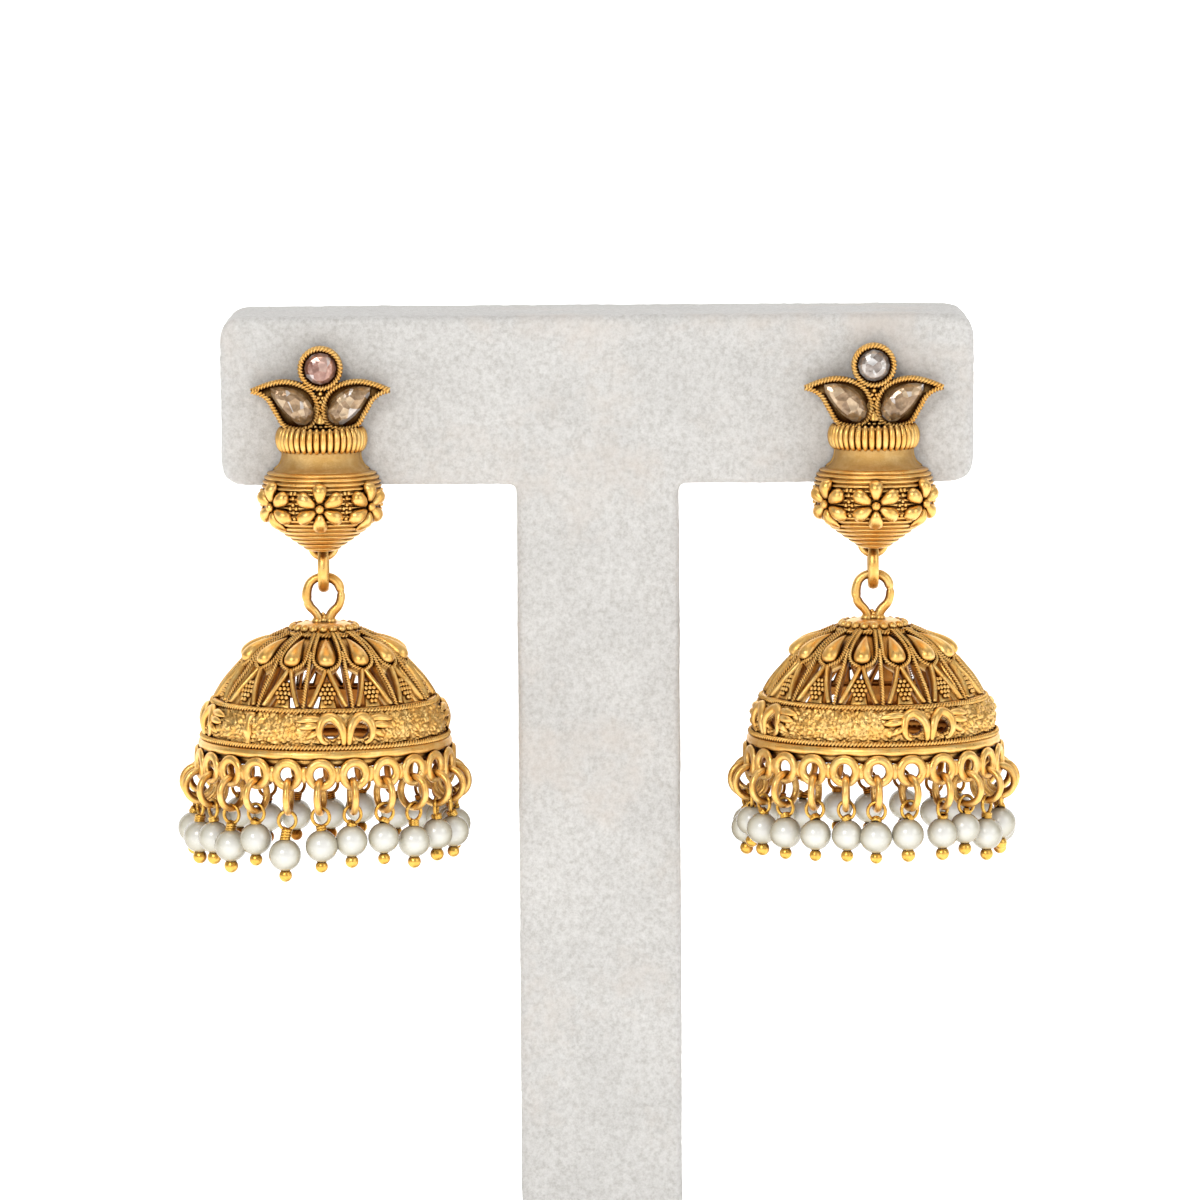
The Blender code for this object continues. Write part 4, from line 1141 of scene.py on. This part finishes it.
def make_band(name, place):
    """The band: a crackled granulated wall, cut through inside the arches."""
    turns = np.linspace(0, 360, BAND_STEPS, endpoint=False)
    drops = np.linspace(BAND[0][1] + BAND_INSET[0], BAND[-1][1] - BAND_INSET[1], BAND_ROWS)
    radii = np.interp(drops, BAND_LINE[:, 1], BAND_LINE[:, 0])
    relief = band_relief(turns, drops, radii)
    outer, normal = on_line(BAND_LINE, *np.meshgrid(turns, drops), relief)
    inner = outer - normal * (BAND_WALL + relief[..., None])
    shape = Shape()
    faces = band_faces(band_kept(name, turns, drops, radii))
    shape.add(np.vstack([outer.reshape(-1, 3), inner.reshape(-1, 3)]), faces)
    if name == "left":
        solder_seam(shape)
    shape.make(name + "_band", GOLD, name + "_drop", place)


def band_pod(shape, turn, rows, lift, widths, sides):
    """A raised line over the band, from rows in mm from a pair's middle and over the band's middle."""
    drop = (BAND[0][1] + BAND[-1][1]) / 2 - rows[:, 1]
    radius = np.interp(drop, BAND_LINE[:, 1], BAND_LINE[:, 0])
    path, normal = on_line(BAND_LINE, turn + np.degrees(rows[:, 0] / radius), drop, lift)
    across = unit(np.cross(unit(np.gradient(path, axis=0)), normal))
    shape.pod(path, widths, widths * CURL_STAND, across, normal, sides, 0.8)


def make_curls(name, place):
    """Pairs of curled arches with leafy tails."""
    shape = Shape()
    arch_widths = 0.22 + 0.26 * np.sin(np.linspace(0.2, math.pi, 40)) ** 1.5
    share = np.linspace(0, 1, 20)
    tail_widths = np.sin(math.pi * np.clip(share * 0.93 + 0.05, 0, 1)) ** 0.8
    for index in range(CURL_PAIRS):
        turn = CURL_TURN[name] + CURL_PITCH * index
        for mirror in (-1, 1):
            band_pod(shape, turn, spline(ARCH, 40) * (mirror, 1), ARCH_LIFT, arch_widths, 12)
            for *line, size in TAILS:
                band_pod(shape, turn, spline(line, 20) * (mirror, 1), TAIL_LIFT, size * tail_widths, 10)
    shape.make(name + "_curls", GOLD, name + "_drop", place)


def make_rim(name, place):
    """Rope rings over and under the band, its shelf and the smooth strip."""
    shape = Shape()
    for radius, height in RIM_ROPES:
        shape.rope(circle(radius, height), *RIM_ROPE, UP, True)
    shape.turned(SHELF, 120)
    shape.turned(STRIP, 144)
    shape.make(name + "_rim", GOLD, name + "_drop", place)


def make_eyelets(name, place):
    """The border of eyelets under the strip, with a lump of metal between neighbours."""
    border = Shape()
    for index in range(DROPS):
        turn = DROP_PITCH * index
        level = toward(turn)
        centre = level * EYELET_OUT + upward(EYELET_DROP)
        path = upright_circle(centre, EYELET_R, toward(turn + 90.0), EYELET_R, 30)
        border.tube(path, EYELET_WIRE_R, level, 10, True, tall=EYELET_FLAT)
        turn += DROP_PITCH / 2
        level = toward(turn)
        wide, deep, tall = WEB_SHAPE
        axes = np.stack([toward(turn + 90.0) * wide, level * deep, upward(tall)])
        border.ball(level * WEB_OUT + upward(EYELET_DROP), WEB_R, 12, 8, axes)
    border.turned(BORDER_LIP, 120)
    border.make(name + "_eyelets", GOLD, name + "_drop", place)


def headpin_coil(end, axis, level, reach):
    """The path of the wire wrapped round a headpin's neck, down to its end over the pearl."""
    wraps = rng.choice((2, 3, 3)) if reach < 0.9 else 4
    share = np.linspace(0, 1, wraps * 14)[:, None]
    first = unit(np.cross(axis, level))
    second = np.cross(axis, first)
    swirl = share * wraps * FULL_TURN
    round_axis = WRAP_R * (np.cos(swirl) * first + np.sin(swirl) * second)
    return end - axis * (min(reach, WRAP_PITCH * wraps) * (1 - share)) + round_axis


def make_drop(name, index, rings, pins, pearls):
    """One drop: a jump ring, a wrapped headpin loop, a pearl and a ball end."""
    turn = DROP_PITCH * index + rng.uniform(-1.0, 1.0)
    yaw = rng.uniform(-14.0, 14.0)
    lean = rng.uniform(-0.30, 0.30)
    low = HANG[name].get((index + DROPS // 2) % DROPS - DROPS // 2, rng.uniform(-0.4, 0.4))
    out = rng.uniform(-0.15, 0.5)
    level, side = toward(turn), toward(turn + 90.0)
    centre = level * RING_OUT + upward(RING_DROP)
    path = upright_circle(centre, RING_RADIUS, toward(turn + yaw), RING_RADIUS, 32)
    rings.tube(path, RING_WIRE_R, toward(turn + yaw + 90.0), 10, True)

    pearl = centre + upward(low - PEARL_BELOW_RING) + side * lean + level * out
    bottom = centre - upward(RING_RADIUS) + level * out * 0.5
    loop_centre = bottom + upward(low * 0.4 - PIN_LOOP_BELOW) + side * lean * 0.3
    loop_side = toward(turn + 90.0 + rng.uniform(-25, 25))
    hook = np.linspace(-math.pi / 2 + 0.25, 1.5 * math.pi - 0.1, 30)[:, None]
    loop = loop_centre + np.cos(hook) * loop_side * PIN_LOOP[0] + np.sin(hook) * upward(PIN_LOOP[1])
    pins.tube(loop, PIN_WIRE_R, np.cross(loop_side, UP))

    neck_top = loop_centre - upward(PIN_NECK_BELOW)
    neck_end = pearl + upward(PIN_NECK_ABOVE)
    axis = unit(neck_end - neck_top - upward(0.02))
    reach = max(0.35, float(np.linalg.norm(neck_end - neck_top)))
    pins.tube(headpin_coil(neck_end, axis, level, reach), PIN_WIRE_R, axis)
    tail = pearl - side * lean * 0.15 - upward(PIN_TAIL_BELOW)
    pins.tube(np.linspace(neck_top, tail, 6), PIN_STEM_R, level)
    pearls.ball(pearl, PEARL_R * rng.uniform(0.97, 1.03), 28, 18)
    pins.ball(tail - upward(PIN_BALL_BELOW), PIN_BALL_R * rng.uniform(0.92, 1.08), 16, 10)


def make_fringe(name, place):
    """The fringe of pearl drops under the eyelets."""
    rings, pins, pearls = Shape(), Shape(), Shape()
    for index in range(DROPS):
        make_drop(name, index, rings, pins, pearls)
    body = name + "_drop"
    rings.make(name + "_drop_rings", GOLD, body, place)
    pins.make(name + "_headpins", GOLD_WIRE, body, place)
    beads = pearls.make(name + "_pearls", PEARL, body, place, "pearl")
    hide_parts(name + "_pearl_fringe")


def make_earring(name):
    """One whole earring, hung on its joints' places."""
    swing, tilt = joint[name + "_swing"], joint[name + "_tilt"]
    pin = (swing.x, swing.y + BACK_FROM_LOOP * MM, swing.z + PIN_UP * MM)
    make_pot(name, pin)
    make_neck(name, pin)
    make_collar(name, pin)
    make_flowers(name, pin)
    make_bezels(name, pin)
    make_stones(name, pin, swing.x)
    make_hanger(name, pin, np.array(swing) / MM)
    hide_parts(name + "_stud")
    make_jump_ring(name, (tilt.x, tilt.y, tilt.z + LINK_UP * MM))
    cap = (tilt.x, tilt.y, tilt.z - BELL_TOP_DOWN * MM)
    parts = (make_eye, make_cap, make_lattice, make_band, make_curls, make_rim, make_eyelets, make_fringe)
    for make_part in parts:
        make_part(name, cap)
    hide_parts(name + "_bell")


def marks_between(stops, step):
    """Evenly spaced marks that meet every stop."""
    runs = []
    for a, b in zip(stops, stops[1:]):
        runs.append(np.linspace(a, b, max(1, round((b - a) / step)), endpoint=False))
    return np.concatenate(runs + [stops[-1:]])


def round_corner(across, up, corners, radius):
    """A point of the front outline, drawn in where it lies in a corner's square."""
    for side, level, way in corners:
        aside = across - (side - math.copysign(radius, side))
        rise = up - (level - way * radius)
        if aside * side > 0 and rise * way > 0:
            longest = max(abs(aside), abs(rise)) / math.hypot(aside, rise)
            return across - aside * (1 - longest), up - rise * (1 - longest)
    return across, up


def block_skin(stops, inside, corners, radius, step):
    """The skin of a block in mm as a fine grid: the filled cells' front and back, and their walls."""
    across, up, deep = (marks_between(np.array(marks), step) for marks in stops)
    middles = [(marks[1:] + marks[:-1]) / 2 for marks in (across, up)]
    filled = {(i, k) for i, x in enumerate(middles[0]) for k, z in enumerate(middles[1]) if inside(x, z)}
    bm = bmesh.new()
    shared = {}

    def spot(column, layer, row):
        if (column, layer, row) not in shared:
            x, z = round_corner(across[column], up[row], corners, radius)
            shared[column, layer, row] = bm.verts.new((x, deep[layer], z))
        return shared[column, layer, row]

    last = len(deep) - 1
    for i, k in filled:
        square = ((i, k), (i + 1, k), (i + 1, k + 1), (i, k + 1))
        bm.faces.new([spot(column, 0, row) for column, row in square])
        bm.faces.new([spot(column, last, row) for column, row in square[::-1]])
        near = ((i, k - 1), (i + 1, k), (i, k + 1), (i - 1, k))
        for index, neighbour in enumerate(near):
            if neighbour in filled:
                continue
            first, second = square[index], square[(index + 1) % 4]
            for layer in range(last):
                low = [spot(first[0], layer, first[1]), spot(second[0], layer, second[1])]
                high = [spot(second[0], layer + 1, second[1]), spot(first[0], layer + 1, first[1])]
                bm.faces.new(low + high)
    return bm


def velvet_block(name, stops, inside, corners, radius, step):
    """A block wrapped in velvet: soft edges, roughened by its pile."""
    bm = block_skin(stops, inside, corners, radius, step)
    bmesh.ops.recalc_face_normals(bm, faces=bm.faces)
    for _ in range(SOFTENING_ROUNDS):
        bmesh.ops.smooth_vert(
            bm, verts=bm.verts, factor=0.5, use_axis_x=True, use_axis_y=True, use_axis_z=True
        )
    bm.normal_update()
    for vertex in bm.verts:
        place = vertex.co
        lift = (noise.noise(place * PILE_GRAIN) + noise.noise(place * PILE_WAVE)) * PILE_LIFT
        vertex.co = (place + vertex.normal * lift) * MM
    mesh = bpy.data.meshes.new(name)
    bm.to_mesh(mesh)
    bm.free()
    mesh.shade_smooth()
    mesh.materials.append(VELVET)
    obj = bpy.data.objects.new(name, mesh)
    bpy.context.scene.collection.objects.link(obj)
    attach(obj, "root")
    return obj


def make_tee():
    """The velvet bar and post with the bar's round corners."""
    low, high = tee_low / MM, tee_high / MM
    under = high.z - BAR_HEIGHT

    def in_tee(x, z):
        return z > under or abs(x) < HALF_POST

    stops = (low.x, -HALF_POST, HALF_POST, high.x), (low.z, under, high.z), (low.y, high.y)
    corners = [(side, level, way) for side in (low.x, high.x) for level, way in ((high.z, 1), (under, -1))]
    tee = velvet_block("velvet_tee", stops, in_tee, corners, BAR_CORNER, TEE_STEP)
    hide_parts("stand_tee")


def make_foot():
    """The velvet foot."""
    low, high = base_low / MM, base_high / MM
    stops = (low.x, high.x), (low.z, high.z), (low.y, high.y)
    foot = velvet_block("velvet_foot", stops, lambda x, z: True, (), 0.0, FOOT_STEP)
    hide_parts("stand_base")


def make_stage():
    """A pale floor that sweeps up into a backdrop."""
    points = [(side * FLOOR_HALF_WIDTH, depth, height) for depth, height in FLOOR_LINE for side in (-1, 1)]
    faces = [(2 * k, 2 * k + 1, 2 * k + 3, 2 * k + 2) for k in range(len(FLOOR_LINE) - 1)]
    mesh = bpy.data.meshes.new("floor")
    mesh.from_pydata(points, [], faces)
    mesh.shade_smooth()
    floor = bpy.data.objects.new("floor", mesh)
    bpy.context.scene.collection.objects.link(floor)
    mesh.materials.append(floor_finish())


def add_light(name, place, size, power, colour):
    """A soft square light that looks at the earrings."""
    data = bpy.data.lights.new(name, "AREA")
    data.shape = "SQUARE"
    data.size = size
    data.energy = power
    data.color = colour
    light = bpy.data.objects.new(name, data)
    light.location = place
    light.rotation_mode = "QUATERNION"
    light.rotation_quaternion = (Vector(LIGHT_AIM) - Vector(place)).to_track_quat("-Z", "Y")
    bpy.context.scene.collection.objects.link(light)


def make_light():
    """Plain soft studio light from above and both sides."""
    for row in LIGHTS:
        add_light(*row)
    world = bpy.data.worlds.new("studio")
    bpy.context.scene.world = world
    world.use_nodes = True
    back = world.node_tree.nodes["Background"]
    back.inputs["Color"].default_value = WHITE
    back.inputs["Strength"].default_value = WORLD_LIGHT


def make_camera():
    """The photo's view: nearly level, from far away, with its slight roll."""
    data = bpy.data.cameras.new("photo_view")
    data.sensor_fit = "AUTO"
    data.sensor_width = SENSOR_MM
    width = PHOTO_PX / PX_PER_MM * MM
    data.lens = SENSOR_MM * CAMERA_DISTANCE / width
    data.clip_start, data.clip_end = CAMERA_CLIP
    camera = bpy.data.objects.new("photo_view", data)
    up = math.radians(CAMERA_ELEVATION)
    back = Vector((0.0, -math.cos(up), math.sin(up)))
    camera.location = AIM + back * CAMERA_DISTANCE
    camera.rotation_mode = "QUATERNION"
    roll = Matrix.Rotation(math.radians(-CAMERA_ROLL), 4, "Z").to_quaternion()
    camera.rotation_quaternion = (-back).to_track_quat("-Z", "Y") @ roll
    bpy.context.scene.collection.objects.link(camera)
    bpy.context.scene.camera = camera


make_camera()
make_stage()
make_light()
make_tee()
make_foot()
for side_name in SIDES:
    make_earring(side_name)
bpy.context.scene.view_settings.view_transform = "Standard"
